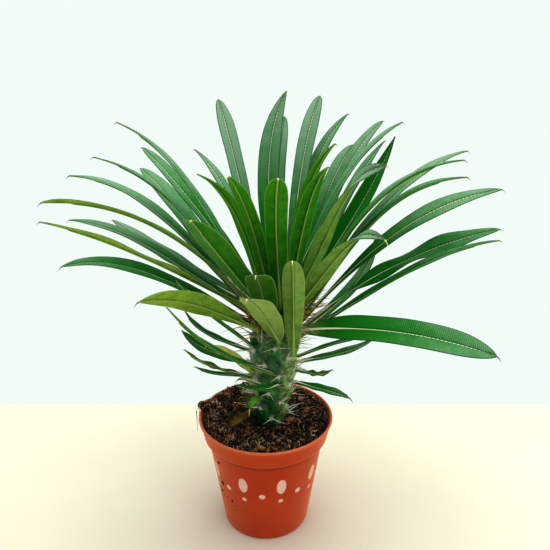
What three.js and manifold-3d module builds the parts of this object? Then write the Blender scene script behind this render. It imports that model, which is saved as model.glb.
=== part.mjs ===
// A young Madagascar palm (Pachypodium lamerei) in its nursery pot.
// Millimetres, +Z up, the pot's foot on Z = 0 and its axis on the Z axis; -Y is the front.
import * as THREE from "three";
import { mergeVertices } from "three/addons/utils/BufferGeometryUtils.js";
import Module from "manifold-3d";

const wasm = await Module();
wasm.setup();

// ---- driving dimensions -------------------------------------------------------------------------

const POT_HEIGHT = 105;
const RIM_RADIUS = 60; // a 12 cm pot, measured over the rim
const RIM_LIP = 2.2; // height and thickness of the rounded lip
const BAND_HEIGHT = 18; // the collar under the rim
const BAND_FOOT_RADIUS = 55.7;
const BODY_TOP_RADIUS = 51.9;
const BASE_RADIUS = 39;
const POT_WALL = 1.6;
const BASE_THICKNESS = 2.4;
const POT_SIDES = 48;
const DRAIN_HOLES = 8;
const DRAIN_RADIUS = 4;
const DRAIN_CIRCLE = 27;

const CLEARANCE = 0.3; // the gap between pieces that touch
const FOOT_GAP = 2; // from the stem's skin to the middle of a leaf's foot
const SOIL_DEPTH_BELOW_RIM = 6;
const SOIL_SURFACE_Z = POT_HEIGHT - SOIL_DEPTH_BELOW_RIM;
const SOIL_MOUND = 9; // how much higher the soil stands at the back left
const SOIL_RISE = 4; // and at the right
const SOIL_LUMPS = [1.1, 0.7]; // heights of its broad and its narrow unevenness
const SOIL_RINGS = 9;
const STEM_HOLE_RADIUS = 14.8;

const STEM_X = 3; // where the stem leaves the soil, a little to the right and back of the middle
const STEM_Y = 3;
const STEM_LEAN = 0.065; // how far it leans to the right, per mm of height
const STEM_ROOT_Z = 70; // it reaches this far down into the soil
const STEM_FOOT_RADIUS = 14.3; // where it leaves the soil, between the tubercles
const STEM_BELLY_RADIUS = 18.4;
const CROWN_FROM_Z = 194; // the stem rounds off from here to its top
const STEM_TOP_Z = 222;
const STEM_SIDES = 36;
const STEM_ROWS = 38;
const GOLDEN_ANGLE = 137.5; // degrees from one tubercle to the next
const TUBERCLES = 58;
const TUBERCLE_FIRST_Z = 101;
const TUBERCLE_STEP = 2.05; // rise from one tubercle to the next
const TUBERCLE_HEIGHT = 4;
const TUBERCLE_REACH = 9; // how far a tubercle spreads from its middle
const TUBERCLE_DOME = 1.6; // the power of its outline; more makes it flatter on top
const SKIN_RADIUS = 19; // the mean radius of the skin, for measuring round it
const CROWN_FADE = 30; // the tubercles flatten out over this height below the top
const FOOT_FADE = 6; // and over this height above the soil
const SPINE_RADIUS = 0.75;
const SPINE_SUNK = 3; // how deep a spine's root sits in the stem
const SPINE_SIDES = 3;
const SPINE_CLEAR = 2.2; // what a spine keeps clear of a leaf
const SPINE_SEED = 7;

const LEAF_STATIONS = 12;
const LEAF_SAMPLES = 40;
const STATION_GATHER = 1.5; // how far the stations gather towards the tip
const WIDEST_AT = 0.55; // share of its length at which a blade reaches its full width
const ROUNDING_FROM = 0.8; // and from which its tip rounds off
const POINT = 0.6; // how drawn-out its tip is, from 0 for a round one to 1 for a pointed one
const POINT_REACH = 0.3; // how much earlier a pointed tip begins to narrow
const END_CURVE = 2.2; // the power of the rounded ends of the blades and of the stem
const BLADE_EDGE = 0.7; // thickness of a blade at its edge
const MIDRIB = 1.7; // thickness along its midrib
const STALK_SHARE = 0.35; // share of its length over which the stalk passes into the blade
const STALK_WIDTH = 3.6;
const STALK_THICKNESS = 2.4;
const BLADE_FOLD = 0.2; // how far the halves rise from the midrib, per mm of half width
const BRISTLE = 5; // length of the hooked bristle at the tip
const BRISTLE_WIDTH = 0.9;
const BRISTLE_DROOP = 0.9; // how far it turns down, as a share of its way on
const BRISTLE_POINT = { half: 0.35, edge: 0.6, rib: 0.7 }; // the section at its point
const TAPER = 0.8;
const TWIST_LATE = 3; // a twisted blade turns most towards its tip
const WAVES = 3; // rises and falls of a waved edge, along its length

// Each leaf: the height of its foot on the stem, its tip as [x, y, z], how far it arches above the
// straight line between them, and its width. Some also have:
// side: how far it bows to the left, as seen from its foot
// bend: 3 has the bow highest near the tip, 1 has it in the middle
// turn: degrees round the stem from the place that faces its tip to its foot
// roll, twist: degrees that it is rolled about its own line at its foot, and further at its tip
// taper: the power by which it widens from its stalk; more keeps it narrow for longer
// widest: the share of its length at which it reaches its full width
// point: 0 for a round end, 1 for a pointed one
// wave: how far its edges rise and fall
// tone: its colour, where it isn't plain green
const LEAVES = [
  { foot: 213, tip: [-117, 20, 357], arch: 14, width: 15, point: 1.2, bend: 4 }, // 1
  { foot: 214, tip: [-108, 60, 334], arch: 4, width: 20, turn: -6, point: 0.2 }, // 2
  { foot: 207, tip: [-132, 0, 332], arch: 17, width: 14, point: 1.3 }, // 3
  { foot: 192, tip: [-120, 100, 311], arch: 6, width: 22, point: 0.1 }, // 4
  { foot: 202, tip: [-160, 20, 315], arch: 20, width: 19 }, // 5
  { foot: 208, tip: [-160, -40, 304], arch: 22, width: 15, twist: 30, bend: 2, point: 0.2, widest: 0.7, taper: 1.2, tone: "olive" }, // 6
  { foot: 204, tip: [-154, -60, 294], arch: 6, width: 14, roll: 20, wave: 1.2, tone: "olive" }, // 7
  { foot: 197, tip: [-164, 20, 278], arch: 12, width: 18, point: 0.4 }, // 8
  { foot: 203, tip: [-140, 60, 269], arch: -2, width: 20, wave: 1.2, point: 0.4 }, // 9
  { foot: 191, tip: [-172, 10, 240], arch: 17, width: 20, roll: -8, point: 0.3, widest: 0.7 }, // 10
  { foot: 175, tip: [-68, -30, 241], arch: -3, width: 14 }, // 11
  { foot: 191, tip: [-83, -90, 246], arch: 8, width: 20, roll: 55, widest: 0.65, taper: 1.6, tone: "olive" }, // 12
  { foot: 210, tip: [-41, -115, 307], arch: 0, width: 23, turn: -10, point: 0 }, // 13
  { foot: 216, tip: [-59, 40, 334], arch: 10, width: 14 }, // 14
  { foot: 214, tip: [-44, -60, 327], arch: 14, width: 17, point: 1 }, // 15
  { foot: 212, tip: [-41, 70, 374], arch: 6, width: 16, side: 2, turn: 4, point: 0, widest: 0.8 }, // 16
  { foot: 212, tip: [-20, -100, 331], arch: 10, width: 12, turn: 2, point: 0.3 }, // 17
  { foot: 216, tip: [18, 60, 381], arch: 8, width: 18, side: 10, turn: 14 }, // 18
  { foot: 204, tip: [17, 90, 359], arch: 6, width: 13, side: 4, point: 0 }, // 19
  { foot: 212, tip: [10, -110, 331], arch: 6, width: 15, side: -2, turn: 8, point: 0, taper: 0.5 }, // 20
  { foot: 218, tip: [48, 80, 377], arch: 8, width: 15, side: 2, turn: -14, point: 0, widest: 0.8 }, // 21
  { foot: 213, tip: [72, 70, 362], arch: 10, width: 15, side: 8, turn: 8 }, // 22
  { foot: 217, tip: [49, -50, 346], arch: 14, width: 11, turn: 4 }, // 23
  { foot: 206, tip: [42, -80, 334], arch: 11, width: 14, bend: 5 }, // 24
  { foot: 206, tip: [82, 100, 333], arch: 4, width: 17, side: 4, turn: -4, point: 0 }, // 25
  { foot: 207, tip: [103, 70, 356], arch: 10, width: 15, side: 4, point: 0 }, // 26
  { foot: 219, tip: [109, 20, 357], arch: 14, width: 14, point: 0.3 }, // 27
  { foot: 203, tip: [100, 40, 341], arch: 6, width: 17, turn: 10 }, // 28
  { foot: 210, tip: [103, 14, 346], arch: -4, width: 20, roll: 25, taper: 1.2, point: 0.9 }, // 29
  { foot: 212, tip: [87, -40, 330], arch: 13, width: 17, roll: -40, twist: 110, bend: 8, point: 0.3 }, // 30
  { foot: 198, tip: [170, 40, 333], arch: 17, width: 17, point: 0.2, widest: 0.7 }, // 31
  { foot: 205, tip: [148, -20, 332], arch: 22, width: 15 }, // 32
  { foot: 199, tip: [155, -10, 318], arch: 22, width: 17, turn: -4 }, // 33
  { foot: 192, tip: [192, 12, 305], arch: 19, width: 18, roll: 25, bend: 2, taper: 1.8, widest: 0.75, point: 0.4 }, // 34
  { foot: 206, tip: [79, -90, 289], arch: 14, width: 15, roll: -35, twist: 90, bend: 8, point: 0.5 }, // 35
  { foot: 186, tip: [196, 16, 271], arch: 13, width: 18, roll: 25, bend: 1, wave: 3, taper: 1.6, widest: 0.75, point: 0.3 }, // 36
  { foot: 178, tip: [186, -10, 268], arch: 10, width: 14 }, // 37
  { foot: 187, tip: [175, -60, 191], arch: 10, width: 24, roll: 35, bend: 1, widest: 0.35, point: 0.35 }, // 38
  { foot: 160, tip: [80, 0, 178], arch: 2, width: 7 }, // 39
  { foot: 152, tip: [96, 20, 168], arch: -4, width: 11 }, // 40
  { foot: 147, tip: [58, 0, 148], arch: -4, width: 8, wave: 1, tone: "olive" }, // 41
  { foot: 140, tip: [70, -30, 138], arch: 1, width: 11 }, // 42
  { foot: 196, tip: [-4, -100, 268], arch: 5, width: 20, turn: -8, point: 0.2 }, // 43
  { foot: 184, tip: [-9, -116, 258], arch: 4, width: 22, turn: 16, point: 0.3, taper: 0.6 }, // 44
  { foot: 166, tip: [19, -108, 280], arch: 12, width: 16, turn: 42, taper: 0.6 }, // 45
  { foot: 172, tip: [102, 60, 254], arch: -16, width: 15 }, // 46
  { foot: 155, tip: [-70, -60, 230], arch: -6, width: 12, side: 13, turn: 46 }, // 47
  { foot: 166, tip: [-68, 0, 204], arch: -7, width: 10 }, // 48
  { foot: 147, tip: [-73, 10, 181], arch: -6, width: 12, turn: -25, roll: -25 }, // 49
  { foot: 143, tip: [-66, -20, 177], arch: -4, width: 7, wave: 1, tone: "olive" }, // 50
  { foot: 144, tip: [-24, -12, 145], arch: 2, width: 4, turn: 25, tone: "yellow" }, // 51
  { foot: 152, tip: [-47, -20, 181], arch: 3, width: 12, turn: 8, roll: 45, widest: 0.35, point: 1, tone: "yellow" }, // 52
  { foot: 139, tip: [-61, 0, 151], arch: -3, width: 6, turn: -12 }, // 53
  { foot: 143, tip: [-22, -40, 156], arch: 1, width: 9, side: 10, turn: 46, point: 0.4 }, // 54
  { foot: 128, tip: [-13, -29, 127], arch: 7, width: 14, tone: "bright" }, // 55
  { foot: 114, tip: [-31, -24, 106], arch: 4, width: 12, roll: -35, tone: "dead" }, // 56
  { foot: 190, tip: [-4, 150, 246], arch: 10, width: 20 }, // 57
];

// ---- helpers ------------------------------------------------------------------------------------

const degrees = THREE.MathUtils.degToRad;
const TAU = 2 * Math.PI;

/** A draw between low and high from three's seeded generator. */
function draw(low, high) {
  return low + (high - low) * THREE.MathUtils.seededRandom();
}

/** A closed three.js geometry as a manifold solid. */
function solidOf(geometry) {
  const bare = geometry.index ? geometry.toNonIndexed() : geometry.clone();
  const positions = new THREE.BufferGeometry().setAttribute("position", bare.getAttribute("position"));
  const merged = mergeVertices(positions, 1e-4);
  const corners = merged.index.array;
  const kept = [];
  for (let i = 0; i < corners.length; i += 3) {
    const [a, b, c] = [corners[i], corners[i + 1], corners[i + 2]];
    if (a !== b && b !== c && c !== a) kept.push(a, b, c);
  }
  const vertProperties = new Float32Array(merged.attributes.position.array);
  return new wasm.Manifold(new wasm.Mesh({ numProp: 3, vertProperties, triVerts: new Uint32Array(kept) }));
}

/** A manifold solid as a named mesh. */
function meshOf(name, solid, material) {
  const { vertProperties, triVerts } = solid.getMesh();
  const geometry = new THREE.BufferGeometry();
  geometry.setAttribute("position", new THREE.BufferAttribute(vertProperties, 3));
  geometry.setIndex(new THREE.BufferAttribute(triVerts, 1));
  geometry.computeVertexNormals();
  const mesh = new THREE.Mesh(geometry, material);
  mesh.name = name;
  return mesh;
}

/** A closed profile of [radius, z] pairs turned about the Z axis. */
function turned(profile, sides) {
  const points = profile.map(([radius, z]) => new THREE.Vector2(radius, z));
  return new THREE.LatheGeometry(points, sides).rotateX(Math.PI / 2);
}

/** An upright cylinder between two heights. */
function upright(radius, low, high, sides) {
  return new THREE.CylinderGeometry(radius, radius, high - low, sides)
    .rotateX(Math.PI / 2)
    .translate(0, 0, (low + high) / 2);
}

function smooth(x) {
  return THREE.MathUtils.smoothstep(x, 0, 1);
}

// ---- pot ----------------------------------------------------------------------------------------

/** The outer outline of the pot from its foot up over the lip, grown by a margin. */
function potOutside(margin) {
  const bandFoot = POT_HEIGHT - BAND_HEIGHT;
  return [
    [BASE_RADIUS + margin - 1, -margin],
    [BASE_RADIUS + margin, 1 - margin],
    [BODY_TOP_RADIUS + margin, bandFoot - 1 - margin],
    [BAND_FOOT_RADIUS - 0.8 + margin, bandFoot - margin],
    [BAND_FOOT_RADIUS + margin, bandFoot + 0.8 - margin],
    [RIM_RADIUS - 1.6 + margin, POT_HEIGHT - RIM_LIP - 0.8 - margin],
    [RIM_RADIUS - 0.4 + margin, POT_HEIGHT - RIM_LIP - margin],
    [RIM_RADIUS + margin, POT_HEIGHT - RIM_LIP / 2],
    [RIM_RADIUS - 0.5 + margin, POT_HEIGHT - 0.3 + margin],
    [RIM_RADIUS - RIM_LIP / 2, POT_HEIGHT + margin],
  ];
}

/** The inner outline of the pot from its lip down to its floor, drawn in by a margin. */
function potInside(margin) {
  const bandFoot = POT_HEIGHT - BAND_HEIGHT;
  return [
    [RIM_RADIUS - RIM_LIP - margin, POT_HEIGHT - 0.4 + margin],
    [BAND_FOOT_RADIUS - POT_WALL - margin, bandFoot + POT_WALL + margin],
    [BODY_TOP_RADIUS - POT_WALL - margin, bandFoot + margin],
    [BASE_RADIUS - POT_WALL - margin, BASE_THICKNESS + margin],
  ];
}

function potSolid() {
  const profile = [[0, 0], ...potOutside(0), ...potInside(0), [0, BASE_THICKNESS]];
  let pot = solidOf(turned(profile, POT_SIDES));
  for (let i = 0; i < DRAIN_HOLES; i++) {
    const angle = (i * TAU) / DRAIN_HOLES;
    const hole = upright(DRAIN_RADIUS, -1, BASE_THICKNESS + 1, 12);
    hole.translate(DRAIN_CIRCLE * Math.cos(angle), DRAIN_CIRCLE * Math.sin(angle), 0);
    pot = pot.subtract(solidOf(hole));
  }
  return pot;
}

// ---- stem ---------------------------------------------------------------------------------------

/** The radius of the stem, without its tubercles, at a height. */
function stemRadius(z) {
  const belly = STEM_FOOT_RADIUS + (STEM_BELLY_RADIUS - STEM_FOOT_RADIUS) * smooth((z - SOIL_SURFACE_Z) / 55);
  const up = Math.max(0, z - CROWN_FROM_Z) / (STEM_TOP_Z - CROWN_FROM_Z);
  return belly * Math.sqrt(Math.max(0, 1 - up ** END_CURVE));
}

/** Where tubercle number i sits: its angle and its height. */
function tubercle(i) {
  return { angle: degrees(i * GOLDEN_ANGLE), z: TUBERCLE_FIRST_Z + i * TUBERCLE_STEP };
}

const tubercles = Array.from({ length: TUBERCLES }, (_, i) => tubercle(i));

/** How far the tubercles raise the stem's skin at an angle and a height. */
function tubercleRise(angle, z) {
  let rise = 0;
  for (const t of tubercles) {
    const across = Math.atan2(Math.sin(angle - t.angle), Math.cos(angle - t.angle)) * SKIN_RADIUS;
    const along = z - t.z;
    const away = Math.hypot(across, along * (along > 0 ? 1.25 : 0.9)) / TUBERCLE_REACH;
    if (away < 1) rise = Math.max(rise, TUBERCLE_HEIGHT * (1 - away ** TUBERCLE_DOME));
  }
  return rise * smooth((STEM_TOP_Z - z) / CROWN_FADE) * smooth((z - SOIL_SURFACE_Z - 1) / FOOT_FADE);
}

/** The middle of the stem at a height. */
function stemAxis(z) {
  return new THREE.Vector3(STEM_X + STEM_LEAN * Math.max(0, z - SOIL_SURFACE_Z), STEM_Y, z);
}

/** A point on the stem's skin at an angle and a height, or so far out of it. */
function stemPoint(angle, z, out = 0) {
  const radius = stemRadius(z) + tubercleRise(angle, z) + out;
  return stemAxis(z).add(new THREE.Vector3(radius * Math.cos(angle), radius * Math.sin(angle), 0));
}

function stemSkin() {
  const profile = [[0, STEM_ROOT_Z], [stemRadius(STEM_ROOT_Z), STEM_ROOT_Z]];
  const low = SOIL_SURFACE_Z + 1;
  for (let i = 0; i < STEM_ROWS; i++) {
    const share = i / STEM_ROWS;
    const z = low + (STEM_TOP_Z - low) * Math.sin((share * Math.PI) / 2) ** 0.9;
    profile.push([stemRadius(z), z]);
  }
  profile.push([0, STEM_TOP_Z]);
  const skin = turned(profile, STEM_SIDES);
  const position = skin.attributes.position;
  for (let i = 0; i < position.count; i++) {
    const [x, y, z] = [position.getX(i), position.getY(i), position.getZ(i)];
    const radius = Math.hypot(x, y);
    const angle = Math.atan2(y, x);
    const grown = radius < 1e-6 || z < SOIL_SURFACE_Z ? radius : radius + tubercleRise(angle, z);
    const middle = stemAxis(z);
    position.setXYZ(i, middle.x + grown * Math.cos(angle), middle.y + grown * Math.sin(angle), z);
  }
  return solidOf(skin);
}

/** The three spines of a tubercle, as [turn, rise, length] in degrees and millimetres. */
function spinesOf(i) {
  const old = i < TUBERCLES / 2;
  const long = old ? 13 : 17;
  return [
    [draw(28, 46), draw(-5, 25), long * draw(0.8, 1.15)],
    [draw(-46, -28), draw(-5, 25), long * draw(0.8, 1.15)],
    [draw(-12, 12), draw(20, 50), long * draw(0.45, 0.7)],
  ];
}

/** Whether a spine from root to point stays clear of every leaf. */
function clearOfLeaves(root, point, leafPlaces) {
  for (let s = 0; s <= 1; s += 0.1) {
    const at = root.clone().lerp(point, s);
    if (leafPlaces.some(({ place, half }) => place.distanceTo(at) < half + SPINE_CLEAR)) return false;
  }
  return true;
}

function stemSolid(leafPlaces) {
  THREE.MathUtils.seededRandom(SPINE_SEED);
  let stem = stemSkin();
  for (let i = 0; i < TUBERCLES; i++) {
    const { angle, z } = tubercles[i];
    for (const [turn, rise, length] of spinesOf(i)) {
      const root = stemPoint(angle, z + 3, -SPINE_SUNK);
      const heading = angle + degrees(turn);
      const direction = new THREE.Vector3(
        Math.cos(degrees(rise)) * Math.cos(heading),
        Math.cos(degrees(rise)) * Math.sin(heading),
        Math.sin(degrees(rise)),
      );
      const point = root.clone().addScaledVector(direction, length + SPINE_SUNK);
      if (point.z < SOIL_SURFACE_Z + 6 || !clearOfLeaves(root, point, leafPlaces)) continue;
      const cone = new THREE.ConeGeometry(SPINE_RADIUS, length + SPINE_SUNK, SPINE_SIDES);
      cone.translate(0, (length + SPINE_SUNK) / 2, 0);
      cone.applyQuaternion(new THREE.Quaternion().setFromUnitVectors(new THREE.Vector3(0, 1, 0), direction));
      cone.translate(root.x, root.y, root.z);
      stem = stem.add(solidOf(cone));
    }
  }
  return stem;
}

// ---- leaves -------------------------------------------------------------------------------------

/** The middle line of a leaf: straight from its foot, bowed, and falling off towards its tip. */
class LeafLine extends THREE.Curve {
  constructor({ foot, tip, arch, side = 0, turn = 0, bend = 3 }) {
    super();
    this.bend = bend;
    this.peak = (1 + bend) ** (-1 / bend) * (bend / (1 + bend));
    this.end = new THREE.Vector3(...tip);
    const middle = stemAxis(foot);
    const outward = Math.atan2(this.end.y - middle.y, this.end.x - middle.x) + degrees(turn);
    this.start = stemPoint(outward, foot, FOOT_GAP);
    this.chord = this.end.clone().sub(this.start);
    this.heading = Math.atan2(this.chord.y, this.chord.x);
    this.left = new THREE.Vector3(-Math.sin(this.heading), Math.cos(this.heading), 0);
    this.up = new THREE.Vector3().crossVectors(this.chord, this.left).normalize();
    this.bow = this.up.clone().multiplyScalar(arch).addScaledVector(this.left, side);
  }

  getPoint(t, target = new THREE.Vector3()) {
    const bowed = (t * (1 - t ** this.bend)) / this.peak;
    return target.copy(this.start).addScaledVector(this.chord, t).addScaledVector(this.bow, bowed);
  }
}

/** The half width of a blade at t, as a share of its full half width. */
function bladeShape(t, { taper = TAPER, widest = WIDEST_AT, point = POINT }) {
  const swelling = Math.sin((Math.PI / 2) * Math.min(1, t / widest)) ** taper;
  const tipFrom = ROUNDING_FROM - POINT_REACH * point;
  const past = Math.max(0, t - tipFrom) / (1 - tipFrom);
  return swelling * Math.max(0, 1 - past ** END_CURVE) ** (0.5 + 0.5 * point);
}

/** The six corners of a blade's section: left, middle and right above, right, middle, left below. */
function bladeSection(place, across, upper, { half, edge, rib, wave = 0 }) {
  const left = half * BLADE_FOLD + wave;
  const right = half * BLADE_FOLD - wave;
  const corner = (sideways, height) =>
    place.clone().addScaledVector(across, sideways).addScaledVector(upper, height);
  return [
    corner(half, left + edge / 2),
    corner(0, edge / 2),
    corner(-half, right + edge / 2),
    corner(-half, right - edge / 2),
    corner(0, edge / 2 - rib),
    corner(half, left - edge / 2),
  ];
}

/** Half the width of a leaf at t: its stalk, its blade or its bristle, whichever is widest. */
function halfWidth(t, leaf) {
  const stalk = 1 - smooth(t / STALK_SHARE);
  return Math.max((leaf.width / 2) * bladeShape(t, leaf), BRISTLE_WIDTH / 2, (STALK_WIDTH / 2) * stalk);
}

/** Places along a leaf with its half width there, for telling what comes near it. */
function leafSamples(line, leaf) {
  return Array.from({ length: LEAF_SAMPLES }, (_, i) => {
    const t = i / (LEAF_SAMPLES - 1);
    return { place: line.getPoint(t), half: halfWidth(t, leaf) };
  });
}

function leafSections(line, leaf) {
  const { roll = 0, twist = 0, wave = 0 } = leaf;
  const sections = [];
  for (let i = 0; i <= LEAF_STATIONS; i++) {
    const t = 1 - (1 - i / LEAF_STATIONS) ** STATION_GATHER;
    const place = line.getPoint(t);
    const along = line.getTangent(t);
    const flat = line.left.clone().addScaledVector(along, -line.left.dot(along)).normalize();
    const top = new THREE.Vector3().crossVectors(along, flat);
    const lean = degrees(roll + twist * t ** TWIST_LATE);
    const across = flat.clone().multiplyScalar(Math.cos(lean)).addScaledVector(top, Math.sin(lean));
    const upper = top.clone().multiplyScalar(Math.cos(lean)).addScaledVector(flat, -Math.sin(lean));
    const stalk = 1 - smooth(t / STALK_SHARE);
    const shape = {
      half: halfWidth(t, leaf),
      edge: BLADE_EDGE + (STALK_THICKNESS - BLADE_EDGE) * stalk * 0.8,
      rib: THREE.MathUtils.lerp(MIDRIB, STALK_THICKNESS, stalk) * (t > 0.9 ? 0.6 : 1),
      wave: wave * Math.sin(t * WAVES * TAU) * Math.sin(t * Math.PI),
    };
    sections.push(bladeSection(place, across, upper, shape));
    if (i === LEAF_STATIONS) {
      const down = new THREE.Vector3(0, 0, -1);
      const hooked = along.clone().addScaledVector(down, BRISTLE_DROOP).normalize();
      const bristleEnd = place.clone().addScaledVector(hooked, BRISTLE);
      sections.push(bladeSection(bristleEnd, across, upper, BRISTLE_POINT));
    }
  }
  return sections;
}

/** Closes a row of equal sections into one skin, with the same diagonals above and below. */
function skinOf(sections) {
  const points = sections.flat();
  const ring = sections[0].length;
  const faces = [];
  const quad = (a, b, c, d) => faces.push(a, b, c, a, c, d);
  for (let i = 0; i + 1 < sections.length; i++) {
    const [near, far] = [i * ring, (i + 1) * ring];
    quad(near, near + 1, far + 1, far); // upper left
    quad(far + 1, near + 1, near + 2, far + 2); // upper right
    quad(near + 2, near + 3, far + 3, far + 2); // right edge
    quad(far + 4, far + 3, near + 3, near + 4); // lower right
    quad(near + 5, far + 5, far + 4, near + 4); // lower left
    quad(near + 5, near, far, far + 5); // left edge
  }
  const last = (sections.length - 1) * ring;
  for (const [at, turn] of [[0, true], [last, false]])
    for (const corners of [[0, 1, 4, 5], [1, 2, 3, 4]]) {
      const [a, b, c, d] = corners.map((corner) => at + corner);
      if (turn) quad(a, d, c, b);
      else quad(a, b, c, d);
    }
  const geometry = new THREE.BufferGeometry().setFromPoints(points);
  geometry.setIndex(faces);
  return geometry;
}

// ---- soil ---------------------------------------------------------------------------------------

/** The height of the soil's surface: uneven, mounded at the sides and level by the stem. */
function soilHeight(x, y) {
  const toBackLeft = (-x * 0.8 + y * 0.6) / RIM_RADIUS;
  const toRight = (x * 0.8 + y * 0.6) / RIM_RADIUS;
  const mound = SOIL_MOUND * smooth(toBackLeft * 1.2) + SOIL_RISE * smooth(toRight * 1.3);
  const broad = Math.sin(x * 0.31 + 1) * Math.cos(y * 0.27);
  const narrow = Math.sin(x * 0.63 + y * 0.47);
  const lumps = SOIL_LUMPS[0] * broad + SOIL_LUMPS[1] * narrow;
  const level = smooth((Math.hypot(x - STEM_X, y - STEM_Y) - STEM_HOLE_RADIUS - 2) / 12);
  return SOIL_SURFACE_Z + (mound + lumps) * level;
}

/** The clods that spill over the left of the rim, as [x, y, radius]. */
const CLODS = [[-52, 9, 5.5], [-57.5, 8, 4.6], [-49, 16, 4]];
const CLOD_FLATNESS = 0.8;
const CLOD_LIFT = 0.6; // how far its middle lies above the rim, as a share of its radius

function clodSolid([x, y, radius]) {
  const clod = new THREE.IcosahedronGeometry(radius, 1);
  clod.scale(1, 1, CLOD_FLATNESS).translate(x, y, POT_HEIGHT + radius * CLOD_LIFT);
  const grownPot = [[0, -CLEARANCE], ...potOutside(CLEARANCE), ...potInside(CLEARANCE), [0, POT_WALL]];
  return solidOf(clod).subtract(solidOf(turned(grownPot, POT_SIDES)));
}

function soilSolid() {
  const inside = potInside(CLEARANCE);
  const edgeZ = SOIL_SURFACE_Z - 3;
  const edgeRadius = THREE.MathUtils.mapLinear(edgeZ, inside[1][1], inside[0][1], inside[1][0], inside[0][0]);
  const profile = [[0, inside[3][1]], inside[3], inside[2], inside[1], [edgeRadius, edgeZ]];
  for (let i = SOIL_RINGS; i > 0; i--) profile.push([((edgeRadius - 0.5) * i) / SOIL_RINGS, SOIL_SURFACE_Z]);
  profile.push([0, SOIL_SURFACE_Z]);
  const body = turned(profile, POT_SIDES);
  const position = body.attributes.position;
  for (let i = 0; i < position.count; i++)
    if (position.getZ(i) > SOIL_SURFACE_Z - 0.01)
      position.setZ(i, soilHeight(position.getX(i), position.getY(i)));
  const hole = upright(STEM_HOLE_RADIUS, STEM_ROOT_Z - CLEARANCE, POT_HEIGHT, STEM_SIDES);
  const clods = CLODS.map(clodSolid);
  return clods
    .reduce((soil, clod) => soil.add(clod), solidOf(body))
    .subtract(solidOf(hole.translate(STEM_X, STEM_Y, 0)));
}

// ---- assembly -----------------------------------------------------------------------------------

const terracotta = new THREE.MeshStandardMaterial({ color: 0xc65a3c, roughness: 0.5 });
const pottingSoil = new THREE.MeshStandardMaterial({ color: 0x3a2c24, roughness: 1 });
const greenBark = new THREE.MeshStandardMaterial({ color: 0x4f6f4c, roughness: 0.6 });
const leafMaterial = (color) => new THREE.MeshStandardMaterial({ color, roughness: 0.4 });
const LEAF_TONES = {
  green: leafMaterial(0x2f7a3a),
  olive: leafMaterial(0x6d9436),
  yellow: leafMaterial(0xb3bd4a),
  bright: leafMaterial(0x58b52c),
  dead: leafMaterial(0x5b4a24),
};

const group = new THREE.Group();
group.add(meshOf("pot", potSolid(), terracotta));
group.add(meshOf("soil", soilSolid(), pottingSoil));

const leafPlaces = [];
LEAVES.forEach((leaf, i) => {
  const line = new LeafLine(leaf);
  const name = `leaf_${String(i + 1).padStart(2, "0")}`;
  leafPlaces.push(...leafSamples(line, leaf));
  group.add(meshOf(name, solidOf(skinOf(leafSections(line, leaf))), LEAF_TONES[leaf.tone ?? "green"]));
});

group.add(meshOf("stem", stemSolid(leafPlaces), greenBark));

export default group;
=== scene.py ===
"""Looks for a young Madagascar palm (Pachypodium lamerei) in its nursery pot.

Plans are in millimetres and meshes in metres. The pot's foot stands on z = 0, its axis is the z axis and
the front of the plant faces -Y.
"""

import logging
import math
from collections.abc import Callable
from dataclasses import dataclass
from enum import Enum

import bpy
import numpy as np
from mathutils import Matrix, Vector, noise


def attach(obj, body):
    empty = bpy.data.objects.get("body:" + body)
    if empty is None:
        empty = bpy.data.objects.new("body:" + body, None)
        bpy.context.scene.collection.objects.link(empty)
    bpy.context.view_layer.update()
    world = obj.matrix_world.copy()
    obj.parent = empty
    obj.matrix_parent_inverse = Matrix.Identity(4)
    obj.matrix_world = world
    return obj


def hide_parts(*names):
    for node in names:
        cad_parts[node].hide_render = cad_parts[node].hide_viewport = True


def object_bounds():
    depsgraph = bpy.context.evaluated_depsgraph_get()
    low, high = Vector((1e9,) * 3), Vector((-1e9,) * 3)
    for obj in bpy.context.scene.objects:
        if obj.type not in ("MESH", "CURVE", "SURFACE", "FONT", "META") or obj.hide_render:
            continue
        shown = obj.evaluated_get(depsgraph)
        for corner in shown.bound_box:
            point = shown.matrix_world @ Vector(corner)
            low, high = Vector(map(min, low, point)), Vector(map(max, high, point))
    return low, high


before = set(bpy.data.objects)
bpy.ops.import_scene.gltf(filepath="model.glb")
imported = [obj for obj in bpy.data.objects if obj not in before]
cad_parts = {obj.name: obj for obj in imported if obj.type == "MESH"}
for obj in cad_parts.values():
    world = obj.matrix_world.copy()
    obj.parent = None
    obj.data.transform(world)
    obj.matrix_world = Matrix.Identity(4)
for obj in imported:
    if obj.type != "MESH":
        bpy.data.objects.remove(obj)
CAD_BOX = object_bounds()

log = logging.getLogger("madagascar_palm")

Pair = tuple[float, float]
Triple = tuple[float, float, float]
Socket = bpy.types.NodeSocket

MM = 0.001
TAU = 2 * math.pi
GOLDEN_ANGLE = math.radians(137.5)
DOWN = np.array([0.0, 0.0, -1.0])


class Tone(Enum):
    """What a leaf looks like."""

    GREEN = "leaf_green"
    OLIVE = "leaf_olive"
    YELLOW = "leaf_yellow"
    BRIGHT = "leaf_bright"
    DEAD = "leaf_dead"


# ---- small helpers --------------------------------------------------------------------------------------


def smooth(x: np.ndarray | float) -> np.ndarray | float:
    """A smooth rise from 0 to 1 as x goes from 0 to 1."""
    x = np.clip(x, 0.0, 1.0)
    return x * x * (3 - 2 * x)


def unit(rows: np.ndarray) -> np.ndarray:
    """Each row at length 1."""
    return rows / np.maximum(np.linalg.norm(rows, axis=-1, keepdims=True), 1e-12)


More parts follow.
